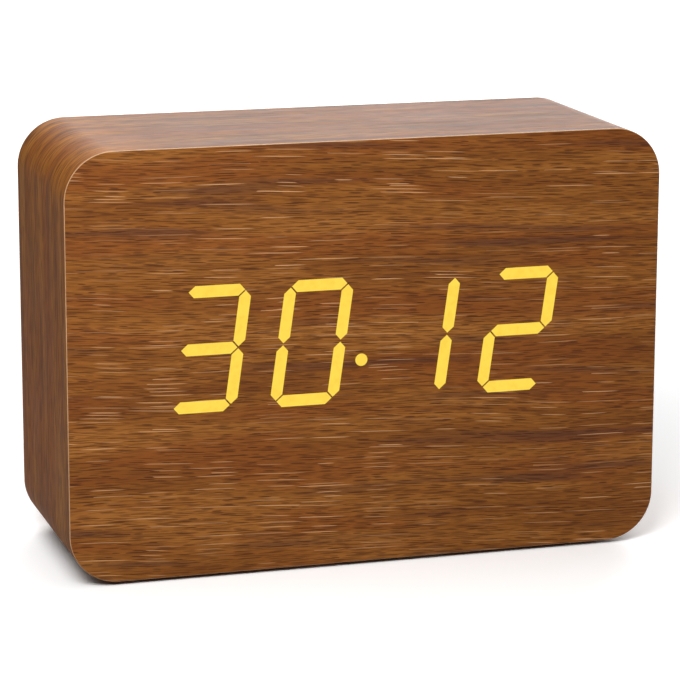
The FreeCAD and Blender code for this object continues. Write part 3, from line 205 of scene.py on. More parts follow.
def walnutFoil(look, wrapped):
    material, tree = newMaterial(look["name"])
    source = addNode(tree, "ShaderNodeTexCoord")
    if wrapped:  # the strip's length and depth, in metres
        parts = addNode(tree, "ShaderNodeSeparateXYZ", {0: source.outputs["UV"]})
        along, across = parts.outputs[0], parts.outputs[1]
    else:
        parts = addNode(tree, "ShaderNodeSeparateXYZ", {0: source.outputs["Object"]})
        along, across = parts.outputs[0], parts.outputs[2]
    places = grainPlaces(tree, look, along, across)

    # ground: broad bands and narrow streaks together choose the brown
    bands = drawnNoise(tree, places, look["bandMm"], noiseStarts["bands"], detail=2.0)
    streaks = drawnNoise(tree, places, look["streakMm"], noiseStarts["streaks"], detail=2.0)
    tone = addNode(tree, "ShaderNodeMath", {0: bands, 1: look["bandShare"]}, operation="MULTIPLY")
    tone = addNode(tree, "ShaderNodeMath", {0: streaks, 1: look["streakShare"], 2: tone},
                   operation="MULTIPLY_ADD")
    colour = addNode(tree, "ShaderNodeValToRGB", {0: tone},
                     stops=list(zip(look["groundRange"], look["ground"])))
    if "figureAndPaintedLight" in look:  # a lighter golden patch over one top corner: partly the foil's figure, partly painted light where that corner faces the key lamp
        place, reach = look["figureAndPaintedLightPlaceMm"] * mm, look["figureAndPaintedLightReachMm"] * mm
        away = addNode(tree, "ShaderNodeMath", {0: along, 1: place}, operation="SUBTRACT")
        away = addNode(tree, "ShaderNodeMath", {0: away}, operation="ABSOLUTE")
        mask = addNode(tree, "ShaderNodeMapRange", {0: away, 1: reach, 2: 0.0, 3: 0.0,
                                                    4: look["figureAndPaintedLightAmount"]}, interpolation_type="SMOOTHSTEP")
        mask = addNode(tree, "ShaderNodeMath", {0: mask, 1: streaks}, operation="MULTIPLY")
        colour = addNode(tree, "ShaderNodeMix", {0: mask, 6: colour, 7: linear(look["figureAndPaintedLight"])},
                         data_type="RGBA").outputs[2]

    # soft layers: reddish blush, smoke and the finest pores
    for layer in ("blush", "smoke", "finePore"):
        start, end = look[layer + "Range"]
        noise = drawnNoise(tree, places, look[layer + "Mm"], noiseStarts[layer])
        mask = addNode(tree, "ShaderNodeMapRange", {0: noise, 1: start, 2: end, 3: 0.0,
                                                    4: look[layer + "Amount"]})
        colour = addNode(tree, "ShaderNodeMix", {0: mask, 6: colour, 7: linear(look[layer])},
                         data_type="RGBA").outputs[2]

    # crisp dashes: dark pores everywhere, and pale flecks in loose groups on the front, which are painted
    # highlights for the glints of the embossed pores
    dashes = {}
    for layer in ("pore", "paintedGlint"):
        if layer not in look:
            continue
        mask = grainDashes(tree, places, look[layer + "CellMm"], look[layer + "WidthMm"],
                           look[layer + "Chance"], noiseStarts[layer])
        mask = addNode(tree, "ShaderNodeMath", {0: mask, 1: look[layer + "Amount"]}, operation="MULTIPLY")
        if layer == "paintedGlint":
            gather = drawnNoise(tree, places, look["gatherMm"], noiseStarts["gather"])
            start, end = look["gatherRange"]
            gather = addNode(tree, "ShaderNodeMapRange", {0: gather, 1: start, 2: end,
                                                          3: look["gatherLeast"], 4: 1.0})
            mask = addNode(tree, "ShaderNodeMath", {0: mask, 1: gather}, operation="MULTIPLY")
        dashes[layer] = mask
        colour = addNode(tree, "ShaderNodeMix", {0: mask, 6: colour, 7: linear(look[layer])},
                         data_type="RGBA").outputs[2]

    # the pores are pressed into the lacquer
    height = addNode(tree, "ShaderNodeMath", {0: streaks, 1: dashes["pore"]}, operation="SUBTRACT")
    normal = addNode(tree, "ShaderNodeBump", {"Strength": look["bumpStrength"],
                                              "Distance": look["reliefMm"] * mm, "Height": height})
    gloss = addNode(tree, "ShaderNodeMapRange", {0: streaks, 1: noiseSpan[0], 2: noiseSpan[1],
                                                 3: look["roughness"] - glossSpread,
                                                 4: look["roughness"] + glossSpread})
    surface = addNode(tree, "ShaderNodeBsdfPrincipled", {"Base Color": colour, "Roughness": gloss,
                                                         "IOR": look["ior"], "Normal": normal})
    addNode(tree, "ShaderNodeOutputMaterial", {"Surface": surface})
    return material


# A moulded, pressed or plated surface: its colour, gloss and fine relief vary at one grain size, and its
# colour and gloss vary again in patches of many grains.
grainLook = {"patchGrains": 14, "toneRange": [0.36, 0.64], "bumpStrength": 0.6}


def grainedSurface(name, dark, light, grainMm, roughness, reliefMm, metallic=0.0, ior=None, coat=0.0):
    material, tree = newMaterial(name)
    source = addNode(tree, "ShaderNodeTexCoord")
    grainSize = grainMm * mm
    patchSize = grainLook["patchGrains"] * grainSize
    places = source.outputs["Object"]
    grain = addNode(tree, "ShaderNodeTexNoise", {"Vector": places, "Scale": 1 / grainSize, "Detail": 3.0})
    patches = addNode(tree, "ShaderNodeTexNoise", {"Vector": places, "Scale": 1 / patchSize, "Detail": 2.0})
    tone = addNode(tree, "ShaderNodeMath", {0: grain, 1: patches}, operation="ADD")
    tone = addNode(tree, "ShaderNodeMath", {0: tone, 1: 0.5}, operation="MULTIPLY")
    colour = addNode(tree, "ShaderNodeValToRGB", {0: tone},
                     stops=list(zip(grainLook["toneRange"], (dark, light))))
    gloss = addNode(tree, "ShaderNodeMapRange", {0: patches, 1: noiseSpan[0], 2: noiseSpan[1],
                                                 3: roughness - glossSpread, 4: roughness + glossSpread})
    normal = addNode(tree, "ShaderNodeBump", {"Strength": grainLook["bumpStrength"],
                                              "Distance": reliefMm * mm, "Height": grain})
    inputs = {"Base Color": colour, "Roughness": gloss, "Metallic": metallic, "Normal": normal,
              "Coat Weight": coat}
    if ior:
        inputs["IOR"] = ior
    surface = addNode(tree, "ShaderNodeBsdfPrincipled", inputs)
    addNode(tree, "ShaderNodeOutputMaterial", {"Surface": surface})
    return material


# Lit amber resin, cast into the bars: an even glow with faint deeper clouds in it.
litResinLook = {"name": "lit_amber_resin", "glow": "#FDDA4E", "deepGlow": "#F9D348",
                "cloudRange": [0.3, 0.6], "cloudMm": 1.6, "body": "#2E2006", "roughness": 0.6, "ior": 1.3}


def litResin(look):
    material, tree = newMaterial(look["name"])
    source = addNode(tree, "ShaderNodeTexCoord")
    cloud = addNode(tree, "ShaderNodeTexNoise", {"Vector": source.outputs["Object"],
                                                 "Scale": 1 / (look["cloudMm"] * mm), "Detail": 1.0})
    glow = addNode(tree, "ShaderNodeValToRGB", {0: cloud},
                   stops=list(zip(look["cloudRange"], (look["deepGlow"], look["glow"]))))
    surface = addNode(tree, "ShaderNodeBsdfPrincipled",
                      {"Base Color": linear(look["body"]), "Roughness": look["roughness"],
                       "IOR": look["ior"], "Emission Color": glow, "Emission Strength": 1.0})
    addNode(tree, "ShaderNodeOutputMaterial", {"Surface": surface})
    return material


def makeMaterials():
    made = {
        "walnut_foil": walnutFoil(frontFoilLook, False),
        "walnut_edge": walnutFoil(edgeFoilLook, True),
        "lit_resin": litResin(litResinLook),
    }
    # name, dark and light tone, grain in mm, roughness, relief in mm, then metallic, IOR or clear coat.
    # The real grain of a moulding or a plating is too fine to show, so it is drawn 0.3 to 2 mm wide.
    finishes = {
        # cut edge of the foil: its pale paper core shows as a thin line
        "foil_core": ("foil_core_paper", "#B08358", "#CDA277", 0.8, 0.6, 0.01, {"ior": 1.45}),
        # raw fibreboard: felted brown fibres, dry and matt
        "fibreboard": ("pressed_fibreboard", "#75573A", "#AD8A62", 0.9, 0.88, 0.12, {"ior": 1.45}),
        # spark-textured ABS moulding: black, dull, with a fine even pebble
        "cover_plastic": ("spark_textured_abs", "#151517", "#242427", 0.4, 0.55, 0.035, {"ior": 1.53}),
        # polished ABS keys: black, smoother than the cover
        "button_plastic": ("satin_abs_keys", "#1A1A1D", "#2A2A2E", 0.6, 0.36, 0.008, {"ior": 1.53}),
        # rubber feet: soft black with a dusty grey bloom
        "foot_rubber": ("black_foot_rubber", "#141414", "#2A2A2A", 0.7, 0.85, 0.03, {"ior": 1.5}),
        # white ABS reflector: bright, a little glossy from the mould
        "reflector_plastic": ("white_reflector_abs", "#E4E4E0", "#F4F4F1", 1.5, 0.4, 0.01, {"ior": 1.53}),
        # unlit resin: milky and smooth
        "dark_resin": ("unlit_clear_resin", "#C6C0AB", "#DAD5C2", 1.2, 0.35, 0.01, {"ior": 1.55}),
        # lamp package: white with a yellow phosphor tint
        "lamp_chip": ("white_lamp_package", "#DAD49A", "#F0EBC0", 0.4, 0.45, 0.01, {"ior": 1.53}),
        # solder mask on fibreglass: deep green under a glossy lacquer
        "circuit_board": ("green_solder_mask", "#0F3C27", "#1D6040", 1.6, 0.35, 0.03,
                          {"ior": 1.5, "coat": 0.3}),
        # chip package: moulded epoxy, dark grey and matt
        "chip_epoxy": ("moulded_epoxy_package", "#19191B", "#2B2B2E", 0.3, 0.6, 0.02, {"ior": 1.55}),
        # tinned or plated steel: bright, slightly soft reflections
        "bright_metal": ("tinned_steel", "#B9BABB", "#D6D7D8", 0.8, 0.28, 0.008, {"metallic": 1.0}),
        # shrink sleeve of the capacitor: dark blue-grey, glossy
        "capacitor_sleeve": ("shrunk_capacitor_sleeve", "#1F232B", "#2D323C", 1.0, 0.32, 0.01, {"ior": 1.53}),
        # switch and plunger: black glass-filled nylon
        "switch_plastic": ("black_switch_nylon", "#19191A", "#29292A", 0.5, 0.5, 0.02, {"ior": 1.53}),
        # buzzer case: black, slightly shiny
        "buzzer_plastic": ("black_buzzer_case", "#141415", "#242426", 0.5, 0.42, 0.015, {"ior": 1.53}),
        # power socket housing: plain black moulding
        "socket_plastic": ("black_socket_housing", "#111112", "#202022", 0.6, 0.4, 0.015, {"ior": 1.53}),
        # ribbon cable jacket: soft grey vinyl
        "ribbon_jacket": ("grey_ribbon_vinyl", "#888B8E", "#A5A8AA", 0.9, 0.5, 0.02, {"ior": 1.5}),
        # ribbon sockets: natural nylon, off-white
        "ribbon_socket_nylon": ("natural_socket_nylon", "#D3CFC2", "#E8E4D9", 0.8, 0.5, 0.02, {"ior": 1.53}),
        # battery wrap: plain printed film over the can
        "cell_wrap": ("plain_cell_wrap", "#23303C", "#33424F", 2.0, 0.28, 0.006, {"ior": 1.5, "coat": 0.2}),
        # contacts: nickel-plated spring steel, faintly warm
        "contact_metal": ("nickel_spring_strip", "#A8A69F", "#CBC9C1", 0.9, 0.3, 0.008, {"metallic": 1.0}),
        # screws: black oxide on steel, dark with soft highlights
        "screw_steel": ("black_oxide_steel", "#2A2A2C", "#4B4B4E", 0.5, 0.36, 0.008, {"metallic": 1.0}),
    }
    for slotName, (name, dark, light, grainMm, roughness, reliefMm, extra) in finishes.items():
        made[slotName] = grainedSurface(name, dark, light, grainMm, roughness, reliefMm, **extra)
    return made


materials = makeMaterials()
print("materials made,", len(materials))


# Mesh helpers

def roundedLoop(halfWidth, halfHeight, radius, middle, steps=16):
    points = []
    for quarter, (signX, signZ) in enumerate([(1, 1), (-1, 1), (-1, -1), (1, -1)]):
        for step in range(steps + 1):
            angle = (quarter + step / steps) * math.pi / 2
            points.append((middle[0] + signX * (halfWidth - radius) + radius * math.cos(angle),
                           middle[1] + signZ * (halfHeight - radius) + radius * math.sin(angle)))
    return points


def newPiece(name, meshData, body, replaced, materialNames):
    piece = bpy.data.objects.new(name, meshData)
    bpy.context.scene.collection.objects.link(piece)
    for materialName in materialNames:
        meshData.materials.append(materials[materialName])
    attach(piece, body)
    if replaced:
        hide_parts(*replaced)
    return piece


def finishMesh(builder, name, sharpDegrees=30):
    bmesh.ops.recalc_face_normals(builder, faces=builder.faces)
    meshData = bpy.data.meshes.new(name)
    for face in builder.faces:
        face.smooth = True
    builder.to_mesh(meshData)
    builder.free()
    meshData.set_sharp_from_angle(angle=math.radians(sharpDegrees))
    return meshData


# Case: the front and rear sheets have an eased edge where the pale core shows, and one strip of foil
# is wrapped round the four sides.
caseLook = {"corner": 12 * mm, "cornerSteps": 28, "sheetEase": 0.14 * mm, "stripEase": 0.05 * mm,
            "stripThick": 0.3 * mm, "coverCorner": 5.3 * mm, "coverGap": 0.3 * mm}


def outlineOf(node, inset=0.0):
    low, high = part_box(node)
    halfWidth, halfHeight = (high.x - low.x) / 2 - inset, (high.z - low.z) / 2 - inset
    middle = ((low.x + high.x) / 2, (low.z + high.z) / 2)
    return roundedLoop(halfWidth, halfHeight, caseLook["corner"] - inset, middle, caseLook["cornerSteps"])


# Flat sheet with holes, from its shown side to its hidden side. Its outer edge is eased on the shown side,
# and its second material is that of the cut edge.
def sheetMesh(name, node, holes, shown, hidden):
    builder = bmesh.new()
    ease = caseLook["sheetEase"]
    inward = math.copysign(ease, hidden - shown)
    outline, easedOutline = outlineOf(node), outlineOf(node, ease)

    def ring(points, depth):
        return [builder.verts.new((x, depth, z)) for x, z in points]

    def wall(first, second):
        for i in range(len(first)):
            face = builder.faces.new((first[i - 1], first[i], second[i], second[i - 1]))
            face.material_index = 1

    outerRings = [ring(easedOutline, shown), ring(outline, shown + inward), ring(outline, hidden)]
    wall(outerRings[0], outerRings[1])
    wall(outerRings[1], outerRings[2])
    holeRings = [(ring(hole, shown), ring(hole, hidden)) for hole in holes]
    for front, back in holeRings:
        wall(front, back)
    for side, outer in ((0, outerRings[0]), (1, outerRings[2])):
        loops = [outer] + [pair[side] for pair in holeRings]
        flat = [vertex for loop in loops for vertex in loop]
        for triangle in tessellate_polygon([[vertex.co for vertex in loop] for loop in loops]):
            builder.faces.new([flat[i] for i in triangle])
    return finishMesh(builder, name)


# Outlines of what reaches the front face: one convex loop for each lit bar or dot.
def shownOutlines(nodeName):
    weldDistance, faceSlack = 0.001 * mm, 0.01 * mm
    builder = bmesh.new()
    builder.from_mesh(cadNodes[nodeName].data)
    bmesh.ops.remove_doubles(builder, verts=builder.verts, dist=weldDistance)
    frontDepth = min(vertex.co.y for vertex in builder.verts)
    waiting = set(builder.verts)
    loops = []
    while waiting:
        island, edge = set(), [waiting.pop()]
        while edge:
            vertex = edge.pop()
            island.add(vertex)
            for link in vertex.link_edges:
                other = link.other_vert(vertex)
                if other in waiting:
                    waiting.remove(other)
                    edge.append(other)
        front = [vertex.co for vertex in island if vertex.co.y < frontDepth + faceSlack]
        centreX = sum(point.x for point in front) / len(front)
        centreZ = sum(point.z for point in front) / len(front)
        front.sort(key=lambda point: math.atan2(point.z - centreZ, point.x - centreX))
        loops.append([(point.x, point.z) for point in front])
    builder.free()
    return sorted(loops)


def makeFrontSheet():
    low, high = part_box("front_foil")
    holes = []
    for nodeName in sorted(cadNodes):
        if nodeName.endswith("_lit_bars") or nodeName == "lower_dot":
            holes += shownOutlines(nodeName)
    meshData = sheetMesh("front_sheet", "front_foil", holes, low.y, high.y)
    newPiece("front_sheet", meshData, "clock_case", ["front_foil"],
             ["walnut_foil", "foil_core"])


# The rear sheet's opening is as far from the block's sides as the ring's rebate.
def makeRearSheet():
    low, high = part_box("rear_foil")
    coverLow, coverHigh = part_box("rear_cover")
    gap = caseLook["coverGap"]
    opening = roundedLoop((coverHigh.x - coverLow.x) / 2 + gap, (coverHigh.z - coverLow.z) / 2 + gap,
                          caseLook["coverCorner"], (0.0, (coverLow.z + coverHigh.z) / 2))
    meshData = sheetMesh("rear_sheet", "rear_foil", [opening], high.y, low.y)
    newPiece("rear_sheet", meshData, "clock_case", ["rear_foil"],
             ["walnut_foil", "foil_core"])


# The strip starts and ends under the block. Its texture runs along its length.
def makeEdgeStrip():
    low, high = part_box("edge_band")
    ease, thick = caseLook["stripEase"], caseLook["stripThick"]
    section = [(ease, low.y), (0.0, low.y + ease), (0.0, high.y - ease), (ease, high.y), (thick, high.y),
               (thick, low.y)]
    outer = outlineOf("edge_band")
    count = len(outer)
    start = min(range(count), key=lambda i: (round(outer[i][1], 6), abs(outer[i][0])))
    lengths = [0.0]
    for i in range(count):
        here, following = outer[(start + i) % count], outer[(start + i + 1) % count]
        lengths.append(lengths[-1] + math.dist(here, following))
    builder = bmesh.new()
    layer = builder.loops.layers.uv.new("strip")
    rings = []
    for inset, depth in section:
        points = outlineOf("edge_band", inset)
        points = points[start:] + points[:start]
        rings.append([builder.verts.new((x, depth, z)) for x, z in points])
    for k in range(len(section)):
        here, following = rings[k], rings[(k + 1) % len(section)]
        depth, nextDepth = section[k][1], section[(k + 1) % len(section)][1]
        for i in range(count):
            ahead = (i + 1) % count
            face = builder.faces.new((here[i], here[ahead], following[ahead], following[i]))
            places = ((lengths[i], depth), (lengths[i + 1], depth), (lengths[i + 1], nextDepth),
                      (lengths[i], nextDepth))
            for corner, place in zip(face.loops, places):
                corner[layer].uv = place
    meshData = finishMesh(builder, "edge_strip")
    newPiece("edge_strip", meshData, "clock_case", ["edge_band"], ["walnut_edge"])


makeFrontSheet()
makeRearSheet()
makeEdgeStrip()
print("case sheets made")


# Turned pieces: a profile of radius and height goes round an axis. A third value picks the material.
def turnProfile(builder, profile, middle, axis, steps):
    upright = Vector((0, 0, 1))
    sideways = axis.cross(upright)
    rings = []
    for radius, height, *_ in profile:
        centre = middle + axis * height
        angles = [2 * math.pi * i / steps for i in range(steps if radius else 1)]
        spokes = [upright * math.cos(angle) + sideways * math.sin(angle) for angle in angles]
        rings.append([builder.verts.new(centre + radius * spoke) for spoke in spokes])
    for ring, following, step in zip(rings, rings[1:], profile):
        for i in range(steps):
            corners = []
            for loop, j in ((ring, i), (ring, i + 1), (following, i + 1), (following, i)):
                vertex = loop[j % len(loop)]
                if vertex not in corners:
                    corners.append(vertex)
            face = builder.faces.new(corners)
            face.material_index = step[2] if len(step) > 2 else 0


# Key caps: a soft rim and a shallow dish for the fingertip. The flange keeps each cap behind the cover.
keyLook = {"capRadius": 3.5 * mm, "flangeThick": 0.8 * mm, "rimRound": 0.3 * mm, "dishRadius": 2.9 * mm,
           "dishDepth": 0.35 * mm, "roundSteps": 5, "dishSteps": 8, "aroundSteps": 48}


def makeKeyCap(keyName):
    low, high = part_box(keyName + "_button")
    middle = Vector(((low.x + high.x) / 2, 0, (low.z + high.z) / 2))
    flangeRadius = (high.x - low.x) / 2
    capRadius, rimRound, dish = keyLook["capRadius"], keyLook["rimRound"], keyLook["dishRadius"]
    profile = [(0, low.y), (flangeRadius, low.y), (flangeRadius, low.y + keyLook["flangeThick"]),
               (capRadius, low.y + keyLook["flangeThick"])]
    for i in range(keyLook["roundSteps"] + 1):
        angle = i / keyLook["roundSteps"] * math.pi / 2
        profile.append((capRadius - rimRound * (1 - math.cos(angle)),
                        high.y - rimRound * (1 - math.sin(angle))))
    for i in range(keyLook["dishSteps"] + 1):
        part = 1 - i / keyLook["dishSteps"]
        profile.append((dish * part, high.y - keyLook["dishDepth"] * (1 - part ** 2)))
    builder = bmesh.new()
    turnProfile(builder, profile, middle, Vector((0, 1, 0)), keyLook["aroundSteps"])
    meshData = finishMesh(builder, keyName + "_key_cap")
    newPiece(keyName + "_key_cap", meshData, keyName + "_key", [keyName + "_button"],
             ["button_plastic"])


# Cover screws: low pan heads with a cross recess. Each is left at its own turn.
screwLook = {"headRadius": 2.5 * mm, "headHeight": 0.9 * mm, "domeShare": 0.7, "domeFullness": 0.7,
             "domeSteps": 7, "shankRadius": 1.25 * mm, "tipLength": 1.2 * mm, "tipShare": 0.3,
             "slotLength": 2.7 * mm, "slotWidth": 0.55 * mm, "slotDepth": 0.55 * mm, "slotTaper": 0.75,
             "aroundSteps": 36, "firstTurn": 0.4, "turnPerX": 31, "turnPerZ": 17}


def plainScrew(low, high):
    radius, height, shank = screwLook["headRadius"], screwLook["headHeight"], screwLook["shankRadius"]
    dome = height * screwLook["domeShare"]
    profile = [(0, low.y), (shank * screwLook["tipShare"], low.y), (shank, low.y + screwLook["tipLength"]),
               (shank, high.y - height), (radius, high.y - height), (radius, high.y - dome)]
    for i in range(1, screwLook["domeSteps"]):
        angle = i / screwLook["domeSteps"] * math.pi / 2
        profile.append((radius * math.cos(angle) ** screwLook["domeFullness"],
                        high.y - dome * (1 - math.sin(angle))))
    profile.append((0, high.y))
    builder = bmesh.new()
    turnProfile(builder, profile, Vector((0, 0, 0)), Vector((0, 1, 0)), screwLook["aroundSteps"])
    return bpy.data.objects.new("plain_screw", finishMesh(builder, "plain_screw"))


def crossCutter(high):
    half, width, taper = screwLook["slotLength"] / 2, screwLook["slotWidth"] / 2, screwLook["slotTaper"]
    arm = [(half, width), (width, width), (width, half)]
    outline = []
    for quarter in range(4):
        outline += arm
        arm = [(-z, x) for x, z in arm]
    cutter = bmesh.new()
    top = [cutter.verts.new((x, high.y + screwLook["headHeight"], z)) for x, z in outline]
    bottom = [cutter.verts.new((x * taper, high.y - screwLook["slotDepth"], z * taper)) for x, z in outline]
    cutter.faces.new(top)
    cutter.faces.new(bottom[::-1])
    for i in range(len(outline)):
        cutter.faces.new((top[i - 1], top[i], bottom[i], bottom[i - 1]))
    return bpy.data.objects.new("recess", finishMesh(cutter, "recess"))


def makeCoverScrews():
    low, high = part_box("rear_cover_screws")
    radius = screwLook["headRadius"]
    screw, recess = plainScrew(low, high), crossCutter(high)
    for item in (screw, recess):
        bpy.context.scene.collection.objects.link(item)
    cut = screw.modifiers.new("cross_recess", "BOOLEAN")
    cut.operation = "DIFFERENCE"
    cut.solver = "EXACT"
    cut.object = recess
    cutMesh = bpy.data.meshes.new_from_object(screw.evaluated_get(bpy.context.evaluated_depsgraph_get()))
    builder = bmesh.new()
    for x in (low.x + radius, high.x - radius):
        for z in (low.z + radius, high.z - radius):
            oldCount = len(builder.verts)
            builder.from_mesh(cutMesh)
            builder.verts.ensure_lookup_table()
            angle = screwLook["firstTurn"] + screwLook["turnPerX"] * x + screwLook["turnPerZ"] * z
            placed = Matrix.Translation((x, 0, z)) @ Matrix.Rotation(angle, 4, "Y")
            bmesh.ops.transform(builder, matrix=placed, verts=builder.verts[oldCount:])
    for item in (screw, recess):
        bpy.data.objects.remove(item)
    newPiece("cover_pan_screws", finishMesh(builder, "cover_pan_screws"), "clock_case",
             ["rear_cover_screws"], ["screw_steel"])


# Battery cells: a plain wrap that folds over the ends, a bare steel nub and a bare base.
cellLook = {"edgeRound": 0.5 * mm, "wrapFold": 0.9 * mm, "foldLip": 0.1 * mm, "sinkDepth": 0.15 * mm,
            "nubRadius": 1.9 * mm, "nubHeight": 1.0 * mm, "nubRound": 0.25 * mm, "roundSteps": 5,
            "aroundSteps": 56}


def makeCell(number):
    cellName = "battery_cell_%d" % number
    low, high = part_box(cellName)
    middle = (low + high) / 2
    axis = Vector((math.copysign(1, middle.x), 0, 0))
    radius, half, edge = (high.z - low.z) / 2, (high.x - low.x) / 2, cellLook["edgeRound"]
    fold, lip, sink = radius - cellLook["wrapFold"], cellLook["foldLip"], cellLook["sinkDepth"]
    nub, nubRound = cellLook["nubRadius"], cellLook["nubRound"]
    shoulder = half - cellLook["nubHeight"]
    wrap, bare = 0, 1  # materials
    angles = [i / cellLook["roundSteps"] * math.pi / 2 for i in range(cellLook["roundSteps"] + 1)]
    profile = [(0, -half, bare), (fold - edge, -half, bare), (fold, sink - half, wrap),
               (fold + lip, -half, wrap)]
    profile += [(radius - edge * (1 - math.sin(angle)), -half + edge * (1 - math.cos(angle)), wrap)
                for angle in angles]
    profile += [(radius - edge * (1 - math.cos(angle)), shoulder - edge * (1 - math.sin(angle)), wrap)
                for angle in angles]
    profile += [(fold + lip, shoulder, wrap), (fold, shoulder - sink, bare), (nub, shoulder - sink, bare)]
    profile += [(nub - nubRound * (1 - math.cos(angle)), half - nubRound * (1 - math.sin(angle)), bare)
                for angle in angles]
    profile.append((0, half, bare))
    builder = bmesh.new()
    turnProfile(builder, profile, middle, axis, cellLook["aroundSteps"])
    name = "wrapped_cell_%d" % number
    newPiece(name, finishMesh(builder, name), "clock_case", [cellName],
             ["cell_wrap", "contact_metal"])


# Feet: soft square pads with round corners and an eased lower edge.
footLook = {"corner": 1.6 * mm, "cornerSteps": 8, "edgeRound": 0.35 * mm, "roundSteps": 4,
            "sharpDegrees": 50}


def makeFoot(footName):
    low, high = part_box(footName)
    middle = ((low.x + high.x) / 2, (low.y + high.y) / 2)
    builder = bmesh.new()
    rings = []
    levels = [(0.0, high.z)]
    for i in range(footLook["roundSteps"] + 1):
        angle = i / footLook["roundSteps"] * math.pi / 2
        levels.append((footLook["edgeRound"] * (1 - math.cos(angle)),
                       low.z + footLook["edgeRound"] * (1 - math.sin(angle))))
    for inset, height in levels:
        loop = roundedLoop((high.x - low.x) / 2 - inset, (high.y - low.y) / 2 - inset,
                           footLook["corner"] - inset, middle, footLook["cornerSteps"])
        rings.append([builder.verts.new((x, y, height)) for x, y in loop])
    for ring, following in zip(rings, rings[1:]):
        for i in range(len(ring)):
            builder.faces.new((ring[i - 1], ring[i], following[i], following[i - 1]))
    builder.faces.new(rings[0])
    builder.faces.new(rings[-1][::-1])
    name = footName.replace("foot", "foot_pad")
    meshData = finishMesh(builder, name, footLook["sharpDegrees"])
    newPiece(name, meshData, "clock_case", [footName], ["foot_rubber"])


for keyName in ("set", "up", "down"):
    makeKeyCap(keyName)
makeCoverScrews()
for number in (1, 2, 3):
    makeCell(number)
for footName in ("foot_front_left", "foot_front_right", "foot_rear_left", "foot_rear_right"):
    makeFoot(footName)
print("keys, screws, cells and feet made")


# Carried-over pieces take the material of their slot.
def dressNodes():
    for part in frame["record"]["subparts"]:
        node = cadNodes[part["node"]]
        finish = materials[part["material_slot"]]
        for materialSlot in node.material_slots:
            materialSlot.material = finish
        if not node.material_slots:
            node.data.materials.append(finish)


dressNodes()
print("pieces dressed")


# Stage, lamps and camera
floorLook = {"name": "matt_white_paper", "size": 12.0, "shown": 1.16, "bounce": 0.42, "grainMm": 2.5,
             "palest": 1.0, "darkest": 0.985}
studioLook = {"front": 0.12, "rear": 0.55, "rearSpan": [-0.1, 0.5], "left": 0.06, "leftSpan": [-0.3, 0.4],
              "overhead": 0.65, "overheadSpan": [0.45, 0.9]}
lampTarget = (0, 0, 0.05)
lamps = [
    {"name": "key_softbox", "place": (-0.18, -0.32, 0.34), "wide": 0.22, "high": 0.22, "watts": 1.88},
    {"name": "rear_softbox", "place": (0.66, 1.7, 0.55), "wide": 1.5, "high": 0.9, "watts": 45.0},
]
cameraLook = {"place": (-0.217549, -0.718708, 0.219561), "target": (-0.00756, -0.02825, 0.05726),
              "rollRadians": 0.00207, "lensMm": 161.59, "sensorMm": 36.0, "nearest": 0.01, "farthest": 50.0}


# Matt white paper: its fibres give it a faint even mottle. It is paler for the camera and for what
# reflects or refracts it than for the light that it throws back.
def makeFloor():
    builder = bmesh.new()
    bmesh.ops.create_grid(builder, x_segments=8, y_segments=8, size=floorLook["size"] / 2)
    meshData = bpy.data.meshes.new("floor")
    builder.to_mesh(meshData)
    builder.free()
    floor = bpy.data.objects.new("floor", meshData)
    bpy.context.scene.collection.objects.link(floor)
    floor.location.z = cadLow.z
    material, tree = newMaterial(floorLook["name"])
    source = addNode(tree, "ShaderNodeTexCoord")
    grain = addNode(tree, "ShaderNodeTexNoise", {"Vector": source.outputs["Object"],
                                                 "Scale": 1 / (floorLook["grainMm"] * mm)})
    paper = addNode(tree, "ShaderNodeMapRange", {0: grain, 3: floorLook["darkest"], 4: floorLook["palest"]})
    path = addNode(tree, "ShaderNodeLightPath")
    seen = addNode(tree, "ShaderNodeMath",
                   {0: path.outputs["Is Camera Ray"], 1: path.outputs["Is Glossy Ray"]}, operation="MAXIMUM")
    seen = addNode(tree, "ShaderNodeMath", {0: seen, 1: path.outputs["Is Transmission Ray"]},
                   operation="MAXIMUM")
    level = addNode(tree, "ShaderNodeMapRange", {0: seen, 3: floorLook["bounce"], 4: floorLook["shown"]})
    level = addNode(tree, "ShaderNodeMath", {0: level, 1: paper}, operation="MULTIPLY")
    surface = addNode(tree, "ShaderNodeBsdfDiffuse", {"Color": level})
    addNode(tree, "ShaderNodeOutputMaterial", {"Surface": surface})
    meshData.materials.append(material)


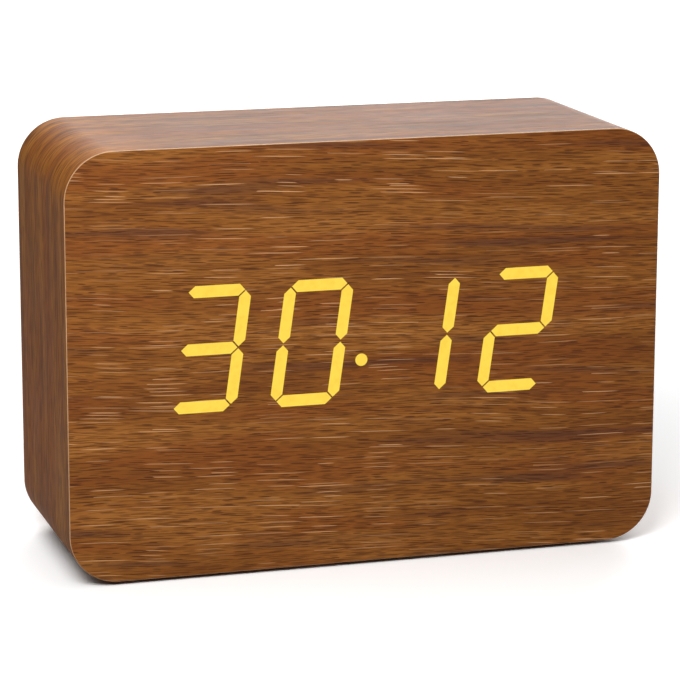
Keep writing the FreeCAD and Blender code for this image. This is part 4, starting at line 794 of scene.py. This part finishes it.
# The studio is pale behind and overhead, and dim in front and to the left.
def makeWorld():
    world = bpy.data.worlds.new("studio")
    world.use_nodes = True
    tree = world.node_tree
    tree.nodes.clear()
    source = addNode(tree, "ShaderNodeTexCoord")
    parts = addNode(tree, "ShaderNodeSeparateXYZ", {0: source.outputs["Generated"]})
    start, end = studioLook["rearSpan"]
    rear = addNode(tree, "ShaderNodeMapRange", {0: parts.outputs[1], 1: start, 2: end,
                                                3: studioLook["front"], 4: studioLook["rear"]})
    start, end = studioLook["leftSpan"]
    left = addNode(tree, "ShaderNodeMapRange", {0: parts.outputs[0], 1: start, 2: end,
                                                3: studioLook["left"], 4: 1.0})
    low = addNode(tree, "ShaderNodeMath", {0: rear, 1: left}, operation="MULTIPLY")
    start, end = studioLook["overheadSpan"]
    height = addNode(tree, "ShaderNodeMapRange", {0: parts.outputs[2], 1: start, 2: end})
    strength = addNode(tree, "ShaderNodeMix", {0: height, 2: low, 3: studioLook["overhead"]})
    background = addNode(tree, "ShaderNodeBackground", {"Color": linear("#FFFFFF"), "Strength": strength})
    addNode(tree, "ShaderNodeOutputWorld", {"Surface": background})
    bpy.context.scene.world = world


def makeLamps():
    for look in lamps:
        data = bpy.data.lights.new(look["name"], "AREA")
        data.shape = "RECTANGLE"
        data.size = look["wide"]
        data.size_y = look["high"]
        data.energy = look["watts"]
        lamp = bpy.data.objects.new(look["name"], data)
        bpy.context.scene.collection.objects.link(lamp)
        lamp.location = look["place"]
        aim = Vector(lampTarget) - Vector(look["place"])
        lamp.rotation_mode = "QUATERNION"
        lamp.rotation_quaternion = aim.to_track_quat("-Z", "Y")


def makeCamera():
    data = bpy.data.cameras.new("camera")
    data.lens = cameraLook["lensMm"]
    data.sensor_width = cameraLook["sensorMm"]
    data.clip_start = cameraLook["nearest"]
    data.clip_end = cameraLook["farthest"]
    camera = bpy.data.objects.new("camera", data)
    bpy.context.scene.collection.objects.link(camera)
    place, target = Vector(cameraLook["place"]), Vector(cameraLook["target"])
    forward = (target - place).normalized()
    right = forward.cross(Vector((0, 0, 1))).normalized()
    up = right.cross(forward)
    turn = Matrix.Rotation(cameraLook["rollRadians"], 3, -forward)
    right, up = turn @ right, turn @ up
    camera.matrix_world = Matrix((
        (right.x, up.x, -forward.x, place.x),
        (right.y, up.y, -forward.y, place.y),
        (right.z, up.z, -forward.z, place.z),
        (0, 0, 0, 1)))
    bpy.context.scene.camera = camera


makeFloor()
makeWorld()
makeLamps()
makeCamera()
bpy.context.scene.view_settings.view_transform = "Standard"
print("stage, lamps and camera made")
